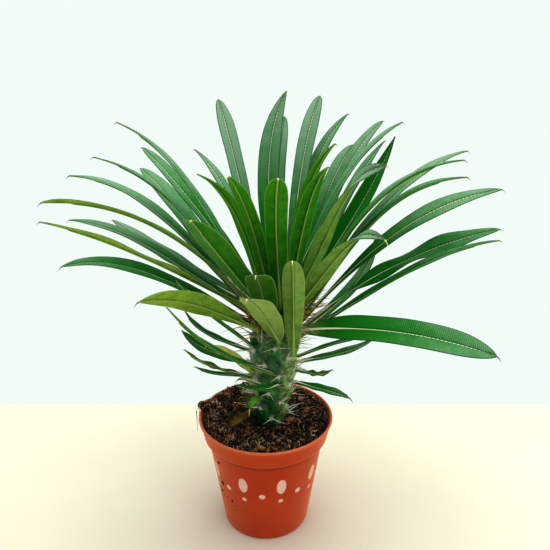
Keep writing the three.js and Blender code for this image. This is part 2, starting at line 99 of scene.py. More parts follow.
def rgba(code: str) -> tuple[float, float, float, float]:
    """A hex colour as the linear colour that sockets take.

    Args:
        code: The colour, as #rrggbb.

    Returns:
        Red, green, blue and alpha, from 0 to 1.
    """
    parts = [int(code[i : i + 2], 16) / 255 for i in (1, 3, 5)]
    r, g, b = [p / 12.92 if p <= 0.04045 else ((p + 0.055) / 1.055) ** 2.4 for p in parts]
    return (r, g, b, 1.0)


def start_edit(obj: bpy.types.Object) -> None:
    """Makes obj the one selected object and opens it for editing with everything selected.

    Args:
        obj: The mesh object to edit.
    """
    bpy.ops.object.select_all(action="DESELECT")
    obj.select_set(True)
    bpy.context.view_layer.objects.active = obj
    bpy.ops.object.mode_set(mode="EDIT")
    bpy.ops.mesh.select_all(action="SELECT")


def end_edit() -> None:
    """Closes the mesh that is being edited."""
    bpy.ops.object.mode_set(mode="OBJECT")


def face_outwards(obj: bpy.types.Object) -> None:
    """Turns the faces of a closed mesh outwards.

    Args:
        obj: The mesh object.
    """
    start_edit(obj)
    bpy.ops.mesh.normals_make_consistent(inside=False)
    end_edit()


def settle(obj: bpy.types.Object, name: str) -> bpy.types.Object:
    """Names a new primitive and moves its place and size into its mesh.

    Args:
        obj: The new primitive, which is selected.
        name: Its name.

    Returns:
        The same object, at the origin, unturned and unscaled.
    """
    obj.name = name
    obj.data.name = name
    bpy.ops.object.transform_apply(location=True, rotation=True, scale=True)
    return obj


def primitive(add: Callable, name: str, stretch: Triple = (1, 1, 1), **sizes: object) -> bpy.types.Object:
    """Adds a primitive with nothing else selected, and settles it.

    Args:
        add: The operator that adds it.
        name: The object's name.
        stretch: How much longer it gets along x, y and z.
        sizes: What the operator takes.

    Returns:
        The object.
    """
    bpy.ops.object.select_all(action="DESELECT")
    add(**sizes)
    bpy.context.object.scale = stretch
    return settle(bpy.context.object, name)


def cut_across(axis: int, place: float) -> None:
    """Cuts the whole mesh that is being edited along a plane square to an axis.

    Args:
        axis: 0 for x, 1 for y and 2 for z.
        place: Where on that axis the plane stands.
    """
    normal = [0.0, 0.0, 0.0]
    normal[axis] = 1.0
    bpy.ops.mesh.select_all(action="SELECT")
    bpy.ops.mesh.bisect(plane_co=[place * part for part in normal], plane_no=normal)


def disc(name: str, sides: int, radius: float, height: float) -> bpy.types.Object:
    """A level disc round the z axis.

    Args:
        name: The object's name.
        sides: How many sides it has.
        radius: Its radius, in millimetres.
        height: Its height.

    Returns:
        The object.
    """
    add = bpy.ops.mesh.primitive_circle_add
    middle = (0, 0, height * MM)
    return primitive(add, name, vertices=sides, radius=radius * MM, fill_type="NGON", location=middle)


def draw_on(radius: float, height: float, rings: tuple[Pair, ...]) -> None:
    """Extrudes the selected disc of the mesh that is being edited from ring to ring.

    Args:
        radius: The disc's radius, in millimetres.
        height: Its height.
        rings: The radius and the height of each ring that it passes.
    """
    for next_radius, next_height in rings:
        rise = (0, 0, (next_height - height) * MM)
        bpy.ops.mesh.extrude_region_move(TRANSFORM_OT_translate={"value": rise})
        scale = next_radius / radius
        bpy.ops.transform.resize(value=(scale, scale, 1), center_override=(0, 0, next_height * MM))
        radius, height = next_radius, next_height


def corners_of(obj: bpy.types.Object) -> np.ndarray:
    """The mesh's vertices.

    Args:
        obj: The mesh object.

    Returns:
        Rows of x, y, z, in metres.
    """
    rows = np.zeros(len(obj.data.vertices) * 3)
    obj.data.vertices.foreach_get("co", rows)
    return rows.reshape(-1, 3)


def move_corners(obj: bpy.types.Object, rows: np.ndarray) -> None:
    """Gives the mesh's vertices new places, in metres."""
    obj.data.vertices.foreach_set("co", np.ascontiguousarray(rows, dtype=np.float32).ravel())
    obj.data.update()


def write_attribute(obj: bpy.types.Object, name: str, values: np.ndarray) -> None:
    """Stores one number or one vector per vertex under a name that materials read.

    Args:
        obj: The mesh object.
        name: The attribute's name.
        values: One number or one row of three for each vertex.
    """
    values = np.asarray(values, dtype=np.float32)
    if values.ndim == 1:
        obj.data.attributes.new(name, "FLOAT", "POINT").data.foreach_set("value", values)
    else:
        obj.data.attributes.new(name, "FLOAT_VECTOR", "POINT").data.foreach_set("vector", values.ravel())


def copy_of(obj: bpy.types.Object, name: str) -> bpy.types.Object:
    """A copy with its own mesh.

    Args:
        obj: The object to copy.
        name: The copy's name.

    Returns:
        The copy.
    """
    twin = obj.copy()
    twin.data = obj.data.copy()
    twin.name = name
    twin.data.name = name
    bpy.context.scene.collection.objects.link(twin)
    return twin


def mesh_piece(name: str, points: np.ndarray, faces: list, smooth_faces: bool = False) -> bpy.types.Object:
    """A new object from points in metres and faces.

    Args:
        name: The piece's name.
        points: Rows of x, y, z.
        faces: Lists of point numbers.
        smooth_faces: Whether the faces are shaded smooth.

    Returns:
        The object.
    """
    mesh = bpy.data.meshes.new(name)
    mesh.from_pydata(np.asarray(points).tolist(), [], faces)
    mesh.polygons.foreach_set("use_smooth", [smooth_faces] * len(mesh.polygons))
    mesh.update()
    obj = bpy.data.objects.new(name, mesh)
    bpy.context.scene.collection.objects.link(obj)
    return obj


def scattered(
    name: str, template: bpy.types.Object, frames: np.ndarray, places: np.ndarray, smooth_faces: bool
) -> bpy.types.Object:
    """One piece made of many turned and scaled copies of a small form.

    Args:
        name: The piece's name.
        template: The small form. It is removed.
        frames: For each copy, three rows: where the form's x, y and z go, in metres.
        places: For each copy, where the form's middle goes, in metres.
        smooth_faces: Whether the faces are shaded smooth.

    Returns:
        The piece.
    """
    base = corners_of(template)
    polygons = [list(p.vertices) for p in template.data.polygons]
    points = (np.einsum("vi,nij->nvj", base, frames) + places[:, None, :]).reshape(-1, 3)
    faces = [[v + i * len(base) for v in p] for i in range(len(places)) for p in polygons]
    bpy.data.objects.remove(template)
    return mesh_piece(name, points, faces, smooth_faces)


def roughened(obj: bpy.types.Object, rng: np.random.Generator, sizes: np.ndarray, share: float) -> int:
    """Shifts the corners of many small copies at random.

    Args:
        obj: The piece that the copies make.
        rng: Where the draws come from.
        sizes: Each copy's size, in millimetres.
        share: How far the corners shift, for a size of 1.

    Returns:
        How many corners each copy has.
    """
    points = corners_of(obj)
    corners = len(points) // len(sizes)
    shift = rng.normal(scale=share, size=points.shape) * np.repeat(sizes, corners)[:, None]
    move_corners(obj, points + shift * MM)
    return corners


def random_turns(rng: np.random.Generator, count: int) -> np.ndarray:
    """Evenly spread random rotations.

    Args:
        rng: Where the draws come from.
        count: How many.

    Returns:
        A row of count three by three matrices.
    """
    q = unit(rng.normal(size=(count, 4)))
    w, x, y, z = q.T
    rows = [
        [1 - 2 * (y * y + z * z), 2 * (x * y - z * w), 2 * (x * z + y * w)],
        [2 * (x * y + z * w), 1 - 2 * (x * x + z * z), 2 * (y * z - x * w)],
        [2 * (x * z - y * w), 2 * (y * z + x * w), 1 - 2 * (x * x + y * y)],
    ]
    return np.array(rows).transpose(2, 0, 1)


class Draws:
    """The seeded draws that place the spines (the mulberry32 generator)."""

    def __init__(self, seed: int) -> None:
        """Starts the row of draws and uses up the first one."""
        self.state = seed
        self.next()

    def next(self) -> float:
        """The next draw.

        Returns:
            A number from 0 to 1.
        """
        whole = 0xFFFFFFFF
        self.state = (self.state + 0x6D2B79F5) & whole
        t = self.state
        t = ((t ^ (t >> 15)) * (t | 1)) & whole
        t ^= (t + (((t ^ (t >> 7)) * (t | 61)) & whole)) & whole
        return (t ^ (t >> 14)) / 2**32

    def between(self, low: float, high: float) -> float:
        """The next draw, from low to high."""
        return low + (high - low) * self.next()


# ---- finishes -------------------------------------------------------------------------------------------


class Shader:
    """A material that is put together from small named steps."""

    def __init__(self, name: str) -> None:
        """Starts with a surface shader and an output.

        Args:
            name: The material's name.
        """
        self.material = bpy.data.materials.new(name)
        self.material.use_nodes = True
        self.nodes = self.material.node_tree.nodes
        self.links = self.material.node_tree.links
        self.nodes.clear()
        self.surface = self.nodes.new("ShaderNodeBsdfPrincipled")
        output = self.nodes.new("ShaderNodeOutputMaterial")
        self.links.new(self.surface.outputs["BSDF"], output.inputs["Surface"])

    def feed(self, socket: Socket, value: object) -> None:
        """Links a socket to another, or sets its number or colour.

        Args:
            socket: The input to fill.
            value: A socket, a number or a colour.
        """
        if isinstance(value, Socket):
            self.links.new(value, socket)
        else:
            socket.default_value = value

    def finish(self, **values: object) -> bpy.types.Material:
        """Sets the surface's inputs.

        Args:
            values: A socket, a number or a colour for each input, with _ for a blank in its name.

        Returns:
            The material.
        """
        for key, value in values.items():
            self.feed(self.surface.inputs[key.replace("_", " ")], value)
        return self.material

    def place(self) -> Socket:
        """The point on the object, in metres."""
        return self.nodes.new("ShaderNodeTexCoord").outputs["Object"]

    def attribute(self, name: str) -> Socket:
        """A number stored on the mesh.

        Args:
            name: The attribute's name.

        Returns:
            Its socket.
        """
        node = self.nodes.new("ShaderNodeAttribute")
        node.attribute_name = name
        return node.outputs["Fac"]

    def vector(self, name: str) -> tuple[Socket, ...]:
        """The three parts of a vector stored on the mesh.

        Args:
            name: The attribute's name.

        Returns:
            Three sockets.
        """
        node = self.nodes.new("ShaderNodeAttribute")
        node.attribute_name = name
        return self.split(node.outputs["Vector"])

    def split(self, vector: Socket) -> tuple[Socket, ...]:
        """The x, y and z of a vector.

        Args:
            vector: The vector's socket.

        Returns:
            Three sockets.
        """
        node = self.nodes.new("ShaderNodeSeparateXYZ")
        self.links.new(vector, node.inputs[0])
        return tuple(node.outputs)

    def math(self, operation: str, *values: object) -> Socket:
        """A sum on numbers or sockets.

        Args:
            operation: The Math node's operation.
            values: Its numbers or sockets, in order.

        Returns:
            The result's socket.
        """
        node = self.nodes.new("ShaderNodeMath")
        node.operation = operation
        for socket, value in zip(node.inputs, values):
            self.feed(socket, value)
        return node.outputs[0]

    def times(self, first: object, second: object) -> Socket:
        """The product of two numbers or sockets."""
        return self.math("MULTIPLY", first, second)

    def step(self, x: object, low: float, high: float, first: float = 0.0, last: float = 1.0) -> Socket:
        """A smooth change from one number to another.

        Args:
            x: What it follows.
            low: Where it starts.
            high: Where it ends.
            first: The number up to low.
            last: The number from high on.

        Returns:
            The result's socket.
        """
        node = self.nodes.new("ShaderNodeMapRange")
        node.interpolation_type = "SMOOTHSTEP"
        keys = ("Value", "From Min", "From Max", "To Min", "To Max")
        for key, value in zip(keys, (x, low, high, first, last)):
            self.feed(node.inputs[key], value)
        return node.outputs["Result"]

    def noise(self, size: float, detail: float = 3.0, rough: float = 0.55) -> Socket:
        """Cloudy noise.

        Args:
            size: About how wide its features are, in millimetres.
            detail: How many finer layers it has.
            rough: How strong each finer layer is.

        Returns:
            A number from 0 to 1, as a socket.
        """
        node = self.nodes.new("ShaderNodeTexNoise")
        self.feed(node.inputs["Vector"], self.place())
        node.inputs["Scale"].default_value = 1 / (size * MM)
        node.inputs["Detail"].default_value = detail
        node.inputs["Roughness"].default_value = rough
        return node.outputs["Fac"]

    def cracks(self, size: float) -> Socket:
        """How far each point is from the lines between rounded cells.

        Args:
            size: About how wide the cells are, in millimetres.

        Returns:
            The distance, as a socket.
        """
        node = self.nodes.new("ShaderNodeTexVoronoi")
        node.feature = "DISTANCE_TO_EDGE"
        self.feed(node.inputs["Vector"], self.place())
        node.inputs["Scale"].default_value = 1 / (size * MM)
        return node.outputs["Distance"]

    def blend(self, share: object, first: object, second: object) -> Socket:
        """A colour between two.

        Args:
            share: How much of the second.
            first: The colour at 0.
            second: The colour at 1.

        Returns:
            The colour's socket.
        """
        node = self.nodes.new("ShaderNodeMix")
        node.data_type = "RGBA"
        colours = [s for s in node.inputs if s.type == "RGBA"]
        self.feed(node.inputs["Factor"], share)
        self.feed(colours[0], first)
        self.feed(colours[1], second)
        return next(s for s in node.outputs if s.type == "RGBA")

    def bump(self, height: object, depth: float, strength: float = 1.0) -> Socket:
        """A surface direction that makes the surface look raised.

        Args:
            height: The height, from 0 to 1.
            depth: How many millimetres a height of 1 is.
            strength: How much of it shows.

        Returns:
            The direction's socket.
        """
        node = self.nodes.new("ShaderNodeBump")
        node.inputs["Strength"].default_value = strength
        node.inputs["Distance"].default_value = depth * MM
        self.links.new(height, node.inputs["Height"])
        return node.outputs["Normal"]


@dataclass(frozen=True)
class LeafFinish:
    """A leaf's waxy upper side and plain underside, with its midrib, side veins and edge."""

    name: str
    shade: str
    green: str
    # the bloom colour is partly the waxy bloom and partly a painted sheen
    bloom_and_sheen: str
    under_deep: str
    under_pale: str
    rib_upper: str = "#eff3d4"
    rib_under: str = "#9dbb5e"
    edge: str = "#31463a"
    blotch: str = ""
    roughness: float = 0.36
    olive_deep: str = "#5c7a1c"
    olive_pale: str = "#a6b870"
    fresh_bristle: str = "#d3d98c"
    dry_bristle: str = "#6f6a58"
    vein_pitch: float = 1.5
    vein_slant: float = 0.45
    vein_wander: float = 2.2
    dash_pitch: float = 3.1
    relief: float = 0.14
    # half the width of a line along the midrib, and how far it fades out beyond that; the groove lines are
    # painted shadow beside the rib
    upper_rib: Pair = (0.18, 0.28)
    upper_groove_shadow: Pair = (0.7, 0.7)
    under_rib: Pair = (0.35, 0.35)
    under_groove_shadow: Pair = (1.0, 0.9)

    def rib_line(self, s: Shader, half: float, soft: float) -> Socket:
        """Where the midrib is: a thin line that widens towards the stalk.

        Args:
            s: The material in the making.
            half: Half its width, in millimetres.
            soft: How far it fades out beyond that.

        Returns:
            The share, 1 on the midrib.
        """
        across = s.vector("leaf_mm")[0]
        length = s.vector("leaf_share")[1]
        wide = s.step(length, 0.0, 0.4, 0.9, 0.0)
        off_rib = s.math("SUBTRACT", s.math("ABSOLUTE", across), wide)
        return s.step(off_rib, half, half + soft, 1.0, 0.0)

    def upper_side(self, s: Shader, cloud: object, veins: object) -> Socket:
        """Green with a pale bloom outwards that is partly painted sheen, painted shade towards the foot,
        fine side veins and a pale midrib in a groove darkened by painted shadow.

        Args:
            s: The material in the making.
            cloud: Soft unevenness from 0 to 1.
            veins: Where the side veins are, from 0 to 1.

        Returns:
            The colour.
        """
        along = s.vector("leaf_mm")[1]
        _, length, tint = s.vector("leaf_share")
        # painted sheen: the bloom is partly the leaf's wax and partly painted sheen, paler towards the tip
        # where the leaf faces the light
        bloom_and_sheen = s.math("MULTIPLY_ADD", s.math("SUBTRACT", cloud, 0.5), 0.7, tint)
        bloom_and_sheen = s.math("ADD", s.step(length, 0.1, 0.95, -0.5, 0.28), bloom_and_sheen)
        bloom_and_sheen = s.math("MULTIPLY_ADD", veins, 0.3, s.math("SUBTRACT", bloom_and_sheen, 0.12))
        colour = s.blend(s.step(bloom_and_sheen, 0.0, 1.0), rgba(self.green), rgba(self.bloom_and_sheen))
        # painted shade: darker towards the foot, where the crown shades the leaf, and a painted shadow in
        # the groove beside the midrib; the darker lines between the side veins join the same mask
        groove = s.times(self.rib_line(s, *self.upper_groove_shadow), 0.6)
        dark = s.math("MAXIMUM", s.step(length, 0.0, 0.5, 0.5, 0.0), groove)
        dark = s.math("MAXIMUM", dark, s.times(s.math("SUBTRACT", 1.0, veins), 0.22))
        colour = s.blend(dark, colour, rgba(self.shade))
        colour = s.blend(s.step(length, 0.02, 0.18, 0.6, 0.0), colour, rgba(self.rib_under))
        dash = s.step(s.math("SINE", s.times(along, TAU / self.dash_pitch)), -0.6, 0.6)
        rim = s.step(s.attribute("leaf_rim"), 0.25, 0.85, 0.9, 0.0)
        rim = s.times(rim, s.math("MULTIPLY_ADD", dash, 0.35, 0.6))
        colour = s.blend(rim, colour, rgba(self.edge))
        broken = s.math("MAXIMUM", dash, s.step(length, 0.35, 0.75, 1.0, 0.4))
        rib = s.times(self.rib_line(s, *self.upper_rib), s.step(length, 0.85, 0.98, 1.0, 0.3))
        return s.blend(s.times(rib, broken), colour, rgba(self.rib_upper))

    def under_side(self, s: Shader, cloud: object, veins: object) -> Socket:
        """Plain green with a grainy bloom, painted shade towards the foot, a raised pale midrib beside a
        painted shadow line and a thin pale edge.

        Args:
            s: The material in the making.
            cloud: Soft unevenness from 0 to 1.
            veins: Where the side veins are, from 0 to 1.

        Returns:
            The colour.
        """
        _, length, tint = s.vector("leaf_share")
        grain = s.step(s.noise(0.9, 2.0, 0.7), 0.3, 0.7, -0.14, 0.14)
        glow = s.math("MULTIPLY_ADD", tint, 0.8, s.times(s.math("SUBTRACT", cloud, 0.45), 0.8))
        glow = s.math("ADD", s.math("ADD", glow, grain), s.step(length, 0.2, 1.0, 0.0, 0.2))
        glow = s.math("MULTIPLY_ADD", veins, 0.1, glow)
        colour = s.blend(s.step(glow, 0.0, 1.0), rgba(self.under_deep), rgba(self.under_pale))
        olive = s.blend(s.step(glow, 0.2, 1.0), rgba(self.olive_deep), rgba(self.olive_pale))
        colour = s.blend(s.times(s.attribute("leaf_olive"), 0.85), colour, olive)
        # painted shade: darker towards the foot, and a painted shadow line beside the raised midrib
        groove = s.times(self.rib_line(s, *self.under_groove_shadow), 0.45)
        dark = s.math("MAXIMUM", s.step(length, 0.0, 0.45, 0.4, 0.0), groove)
        colour = s.blend(dark, colour, rgba(self.shade))
        colour = s.blend(s.step(s.attribute("leaf_rim"), 0.1, 0.5, 0.5, 0.0), colour, rgba(self.rib_under))
        rib = s.times(self.rib_line(s, *self.under_rib), 0.9)
        return s.blend(rib, colour, rgba(self.rib_under))

    def material(self) -> bpy.types.Material:
        """Builds the material from the attributes that Leaves stores.

        Returns:
            The material.
        """
        s = Shader(self.name)
        across, along, side = s.vector("leaf_mm")
        edgeward, length, _ = s.vector("leaf_share")
        off_rib = s.math("ABSOLUTE", across)
        under = s.step(side, 0.4, 0.6)
        cloud = s.noise(8.0, 4.0)
        fine = s.noise(1.1, 2.0)
        slant = s.math("MULTIPLY_ADD", off_rib, self.vein_slant, along)
        wander = s.math("MULTIPLY_ADD", cloud, self.vein_wander, slant)
        stripe = s.math("SINE", s.times(wander, TAU / self.vein_pitch))
        veins = s.times(s.step(stripe, -0.4, 0.9), s.step(off_rib, 0.5, 1.6))
        colour = s.blend(under, self.upper_side(s, cloud, veins), self.under_side(s, cloud, veins))
        if self.blotch:
            spots = s.math("MULTIPLY_ADD", edgeward, -0.3, s.noise(5.0, 3.0))
            colour = s.blend(s.step(spots, 0.5, 0.62), colour, rgba(self.blotch))
        bristle = s.blend(s.attribute("leaf_horn"), rgba(self.fresh_bristle), rgba(self.dry_bristle))
        colour = s.blend(s.step(length, 1.0, 1.04), colour, bristle)
        relief = s.math("MULTIPLY_ADD", veins, 0.6, s.times(fine, 0.4))
        rough = s.math("MULTIPLY_ADD", cloud, 0.16, self.roughness - 0.06)
        rough = s.math("MULTIPLY_ADD", under, 0.12, rough)
        return s.finish(
            Base_Color=colour,
            Roughness=rough,
            Normal=s.bump(relief, self.relief, 0.8),
            Specular_IOR_Level=0.15,
            Subsurface_Weight=0.06,
            Subsurface_Radius=(0.6, 1.0, 0.3),
            Subsurface_Scale=0.0015,
        )


LEAF_FINISHES = {
    Tone.GREEN: LeafFinish("leaf_green_wax", "#043808", "#0e8412", "#84a98c", "#0e7000", "#5cae18"),
    Tone.OLIVE: LeafFinish("leaf_olive_wax", "#0c3408", "#4f7c12", "#7f9a40", "#2f7008", "#a6c64a"),
    Tone.YELLOW: LeafFinish("leaf_yellow_wax", "#56741c", "#96ad38", "#c6cf72", "#8ea636", "#c3cc70"),
    Tone.BRIGHT: LeafFinish(
        "leaf_bright_wax", "#1f5c0c", "#3f9a14", "#6fbd32", "#3f8a14", "#74b832", blotch="#4a4a1a"
    ),
    Tone.DEAD: LeafFinish(
        "leaf_dry", "#2e220e", "#4c4018", "#8a6426", "#463a16", "#7c5e26",
        rib_upper="#8a7840", rib_under="#94803e", edge="#2c200e", blotch="#2e2412", roughness=0.7,
    ),
}


@dataclass(frozen=True)
class PotFinish:
    """Satin terracotta plastic, with a plain printed band of pale dots and leaf-shaped ovals."""

    name: str = "terracotta_plastic_satin"
    deep: str = "#b43307"
    warm: str = "#be3f0e"
    # the next three colours are painted light on the collar, painted shade just under it and a painted
    # highlight on the lip
    collar_light: str = "#f07038"
    under_collar_shade: str = "#6e1c04"
    lip_highlight: str = "#e8865c"
    dust: str = "#9a7a60"
    # the heights between which each of them sets in, and those between which the painted shade under the
    # collar ends
    collar_light_from: Pair = (85.5, 88.0)
    under_collar_shade_from: Pair = (80.5, 84.5)
    under_collar_shade_to: Pair = (86.4, 87.2)
    lip_highlight_from: Pair = (101.5, 104.5)
    rim_height: float = 100.0
    flow_turn: float = 2.2
    print_colour: str = "#f0cdc4"
    print_count: int = 9
    print_radius: float = 43.0
    # each row: where in its ninth of the turn, its height, half its width and half its height
    print_shapes: tuple[tuple[float, float, float, float], ...] = (
        (0.33, 62.0, 3.8, 8.0), (0.83, 52.0, 2.6, 2.6), (0.33, 46.0, 2.0, 2.0),
    )

    def printed(self, s: Shader) -> Socket:
        """Where the print is: a ring of ovals, each with a dot below it, and a dot in each gap.

        Args:
            s: The material in the making.

        Returns:
            The share, 1 on the print.
        """
        x, y, z = s.split(s.place())
        turn = s.times(s.math("ARCTAN2", y, x), self.print_count / TAU)
        height = s.times(z, 1 / MM)
        shapes = []
        for shift, middle, half_wide, half_high in self.print_shapes:
            part = s.math("SUBTRACT", s.math("FRACT", s.math("ADD", turn, shift + 10)), 0.5)
            wide = s.times(part, self.print_radius * TAU / self.print_count / half_wide)
            high = s.math("DIVIDE", s.math("SUBTRACT", height, middle), half_high)
            square = s.math("MULTIPLY_ADD", wide, wide, s.times(high, high))
            shapes.append(s.step(s.math("SQRT", square), 0.94, 1.03, 1.0, 0.0))
        return s.math("MAXIMUM", s.math("MAXIMUM", *shapes[:2]), shapes[2])

    def material(self) -> bpy.types.Material:
        """Builds the material: clouded plastic with flow lines, painted light on the collar, painted shade
        under it, a painted highlight on the lip, print and dust.

        Returns:
            The material.
        """
        s = Shader(self.name)
        cloud = s.noise(26.0, 4.0)
        grain = s.noise(0.5, 2.0)
        height = s.times(s.split(s.place())[2], 1 / MM)
        flow = s.math("MULTIPLY_ADD", height, self.flow_turn, s.times(cloud, 9.0))
        colour = s.blend(s.step(cloud, 0.3, 0.75), rgba(self.deep), rgba(self.warm))
        # painted light: the collar is blended a little towards a lighter orange, as if it caught more light
        # than the wall
        collar_light = s.step(height, *self.collar_light_from, 0.0, 0.08)
        colour = s.blend(collar_light, colour, rgba(self.collar_light))
        # painted shade: a dark band just under the collar's edge, where the collar shades the wall
        under_collar_shade = s.times(s.step(height, *self.under_collar_shade_from), s.step(height, *self.under_collar_shade_to, 0.7, 0.0))
        colour = s.blend(under_collar_shade, colour, rgba(self.under_collar_shade))
        # painted highlight: the top of the rim is blended towards a pale orange
        lip_highlight = s.step(height, *self.lip_highlight_from, 0.0, 0.65)
        colour = s.blend(lip_highlight, colour, rgba(self.lip_highlight))
        colour = s.blend(s.times(self.printed(s), 0.9), colour, rgba(self.print_colour))
        low = s.step(height, 0.0, self.rim_height, 0.5, 0.15)
        dust = s.times(s.step(s.noise(6.0, 5.0, 0.7), 0.56, 0.8), low)
        colour = s.blend(dust, colour, rgba(self.dust))
        scuff = s.step(s.noise(3.0, 6.0, 0.75), 0.5, 0.75)
        rough = s.math("MULTIPLY_ADD", scuff, 0.14, s.math("MULTIPLY_ADD", grain, 0.08, 0.3))
        relief = s.math("MULTIPLY_ADD", s.math("SINE", flow), 0.1, s.times(grain, 0.35))
        return s.finish(
            Base_Color=colour,
            Roughness=rough,
            Normal=s.bump(relief, 0.08, 0.6),
            Specular_IOR_Level=0.16,
            Sheen_Weight=0.7,
            Sheen_Roughness=0.5,
            Sheen_Tint=rgba("#ff9a66"),
            Subsurface_Weight=0.05,
            Subsurface_Scale=0.002,
        )


@dataclass(frozen=True)
class SoilFinish:
    """Damp, dark potting mix."""

    name: str = "potting_mix"
    damp: str = "#060403"
    deep: str = "#0c0603"
    pale: str = "#4a2a1a"
    bark: str = "#84482a"
    dry_bark: str = "#cc9464"
    fibre: str = "#f8e2c0"
    fleck: str = "#d8bc98"

    def material(self) -> bpy.types.Material:
        """Builds the material from soil_tone: below 0 for wet soil, 0 for peat and 1 for dry fibre.

        Returns:
            The material.
        """
        s = Shader(self.name)
        tone = s.attribute("soil_tone")
        lumps = s.noise(2.6, 6.0, 0.7)
        fine = s.noise(0.7, 4.0, 0.7)
        mixed = s.math("MULTIPLY_ADD", lumps, 0.8, s.math("MULTIPLY_ADD", fine, 0.4, -0.5))
        mixed = s.math("MULTIPLY_ADD", s.noise(11.0, 3.0), 0.5, mixed)
        colour = s.blend(s.step(mixed, 0.1, 0.8), rgba(self.deep), rgba(self.pale))
        bark = s.blend(lumps, rgba(self.bark), rgba(self.dry_bark))
        colour = s.blend(s.step(tone, 0.0, 0.55), colour, bark)
        colour = s.blend(s.step(tone, 0.6, 0.95), colour, rgba(self.fibre))
        colour = s.blend(s.step(tone, -0.4, 0.0, 0.75, 0.0), colour, rgba(self.damp))
        flecks = s.step(s.noise(1.1, 2.0, 0.5), 0.64, 0.7, 0.0, 0.8)
        colour = s.blend(flecks, colour, rgba(self.fleck))
        relief = s.math("MULTIPLY_ADD", lumps, 0.7, s.times(fine, 0.5))
        return s.finish(
            Base_Color=colour,
            Roughness=s.step(fine, 0.2, 0.8, 0.75, 0.98),
            Normal=s.bump(relief, 0.7, 0.9),
            Specular_IOR_Level=0.3,
        )


@dataclass(frozen=True)
class BarkFinish:
    """The stem's skin: glossy green tubercles with painted highlights, furrows darkened by painted shade, a
    painted sunlit side and silvery old bark.
    """

    name: str = "stem_bark_green"
    deep: str = "#0a3e10"
    bright: str = "#2a8836"
    # painted shade for the furrows between the tubercles
    furrow_shade: str = "#04240a"
    # painted highlight on the tops of the tubercles
    painted_highlight: str = "#8ecc84"
    sunlit: str = "#c4d68c"
    old_dark: str = "#6a6a58"
    old_pale: str = "#cfd0c0"
    fleck: str = "#b9c2ae"
    felt: str = "#dcd9bf"

    def material(self) -> bpy.types.Material:
        """Builds the material from stem_rise, stem_pad, stem_age and stem_sun.

        Returns:
            The material.
        """
        s = Shader(self.name)
        rise = s.attribute("stem_rise")
        pad = s.attribute("stem_pad")
        sun = s.attribute("stem_sun")
        cloud = s.noise(5.0, 5.0, 0.65)
        fine = s.noise(0.8, 4.0, 0.6)
        cracks = s.cracks(1.6)
        colour = s.blend(s.step(cloud, 0.35, 0.7), rgba(self.deep), rgba(self.bright))
        # painted shade: the furrows between the tubercles are darkened
        furrow_shade = s.step(rise, 0.0, 0.4, 0.6, 0.0)
        colour = s.blend(furrow_shade, colour, rgba(self.furrow_shade))
        # painted highlight: pale green spots on the tops of the tubercles
        painted_highlight = s.times(s.step(rise, 0.5, 0.85), s.step(s.noise(2.4, 2.0), 0.54, 0.66, 0.0, 0.4))
        colour = s.blend(painted_highlight, colour, rgba(self.painted_highlight))
        sunlit = s.times(sun, s.step(cloud, 0.35, 0.7, 0.1, 0.8))
        colour = s.blend(sunlit, colour, rgba(self.sunlit))
        old = s.math("MULTIPLY_ADD", s.attribute("stem_age"), 0.95, s.times(cloud, 0.9))
        silver = s.step(old, 0.95, 1.25)
        weathered = s.blend(fine, rgba(self.old_dark), rgba(self.old_pale))
        colour = s.blend(s.times(silver, 0.8), colour, weathered)
        flecks = s.step(s.noise(0.9, 2.0, 0.5), 0.66, 0.74, 0.0, 0.45)
        colour = s.blend(flecks, colour, rgba(self.fleck))
        felt = s.times(s.step(pad, 0.3, 0.75), s.step(fine, 0.3, 0.6, 0.5, 1.0))
        colour = s.blend(felt, colour, rgba(self.felt))
        relief = s.math("MULTIPLY_ADD", fine, 0.5, s.times(s.step(cracks, 0.0, 0.12), 0.4))
        return s.finish(
            Base_Color=colour,
            Roughness=s.step(s.math("MAXIMUM", silver, felt), 0.0, 1.0, 0.27, 0.72),
            Normal=s.bump(relief, 0.22, 0.7),
            Specular_IOR_Level=0.45,
            Coat_Weight=0.35,
            Coat_Roughness=0.18,
        )


@dataclass(frozen=True)
class SpineFinish:
    """Dry spines: whitish when old, tan and brown in the crown, dark at the point."""

    name: str = "spine_horn"
    old_deep: str = "#f0e7cb"
    old_pale: str = "#ffffff"
    fresh_deep: str = "#603c1e"
    fresh_pale: str = "#cfa258"
    point: str = "#3a2517"

    def material(self) -> bpy.types.Material:
        """Builds the material from spine_young and spine_along.

        Returns:
            The material.
        """
        s = Shader(self.name)
        young = s.attribute("spine_young")
        along = s.attribute("spine_along")
        fine = s.noise(1.2, 3.0)
        old = s.blend(fine, rgba(self.old_deep), rgba(self.old_pale))
        fresh = s.blend(s.step(s.noise(9.0, 2.0), 0.4, 0.6), rgba(self.fresh_deep), rgba(self.fresh_pale))
        colour = s.blend(young, old, fresh)
        colour = s.blend(s.times(s.step(along, 0.75, 1.0), young), colour, rgba(self.point))
        return s.finish(Base_Color=colour, Roughness=0.5, Normal=s.bump(fine, 0.1), Specular_IOR_Level=0.45)


# ---- stem -----------------------------------------------------------------------------------------------


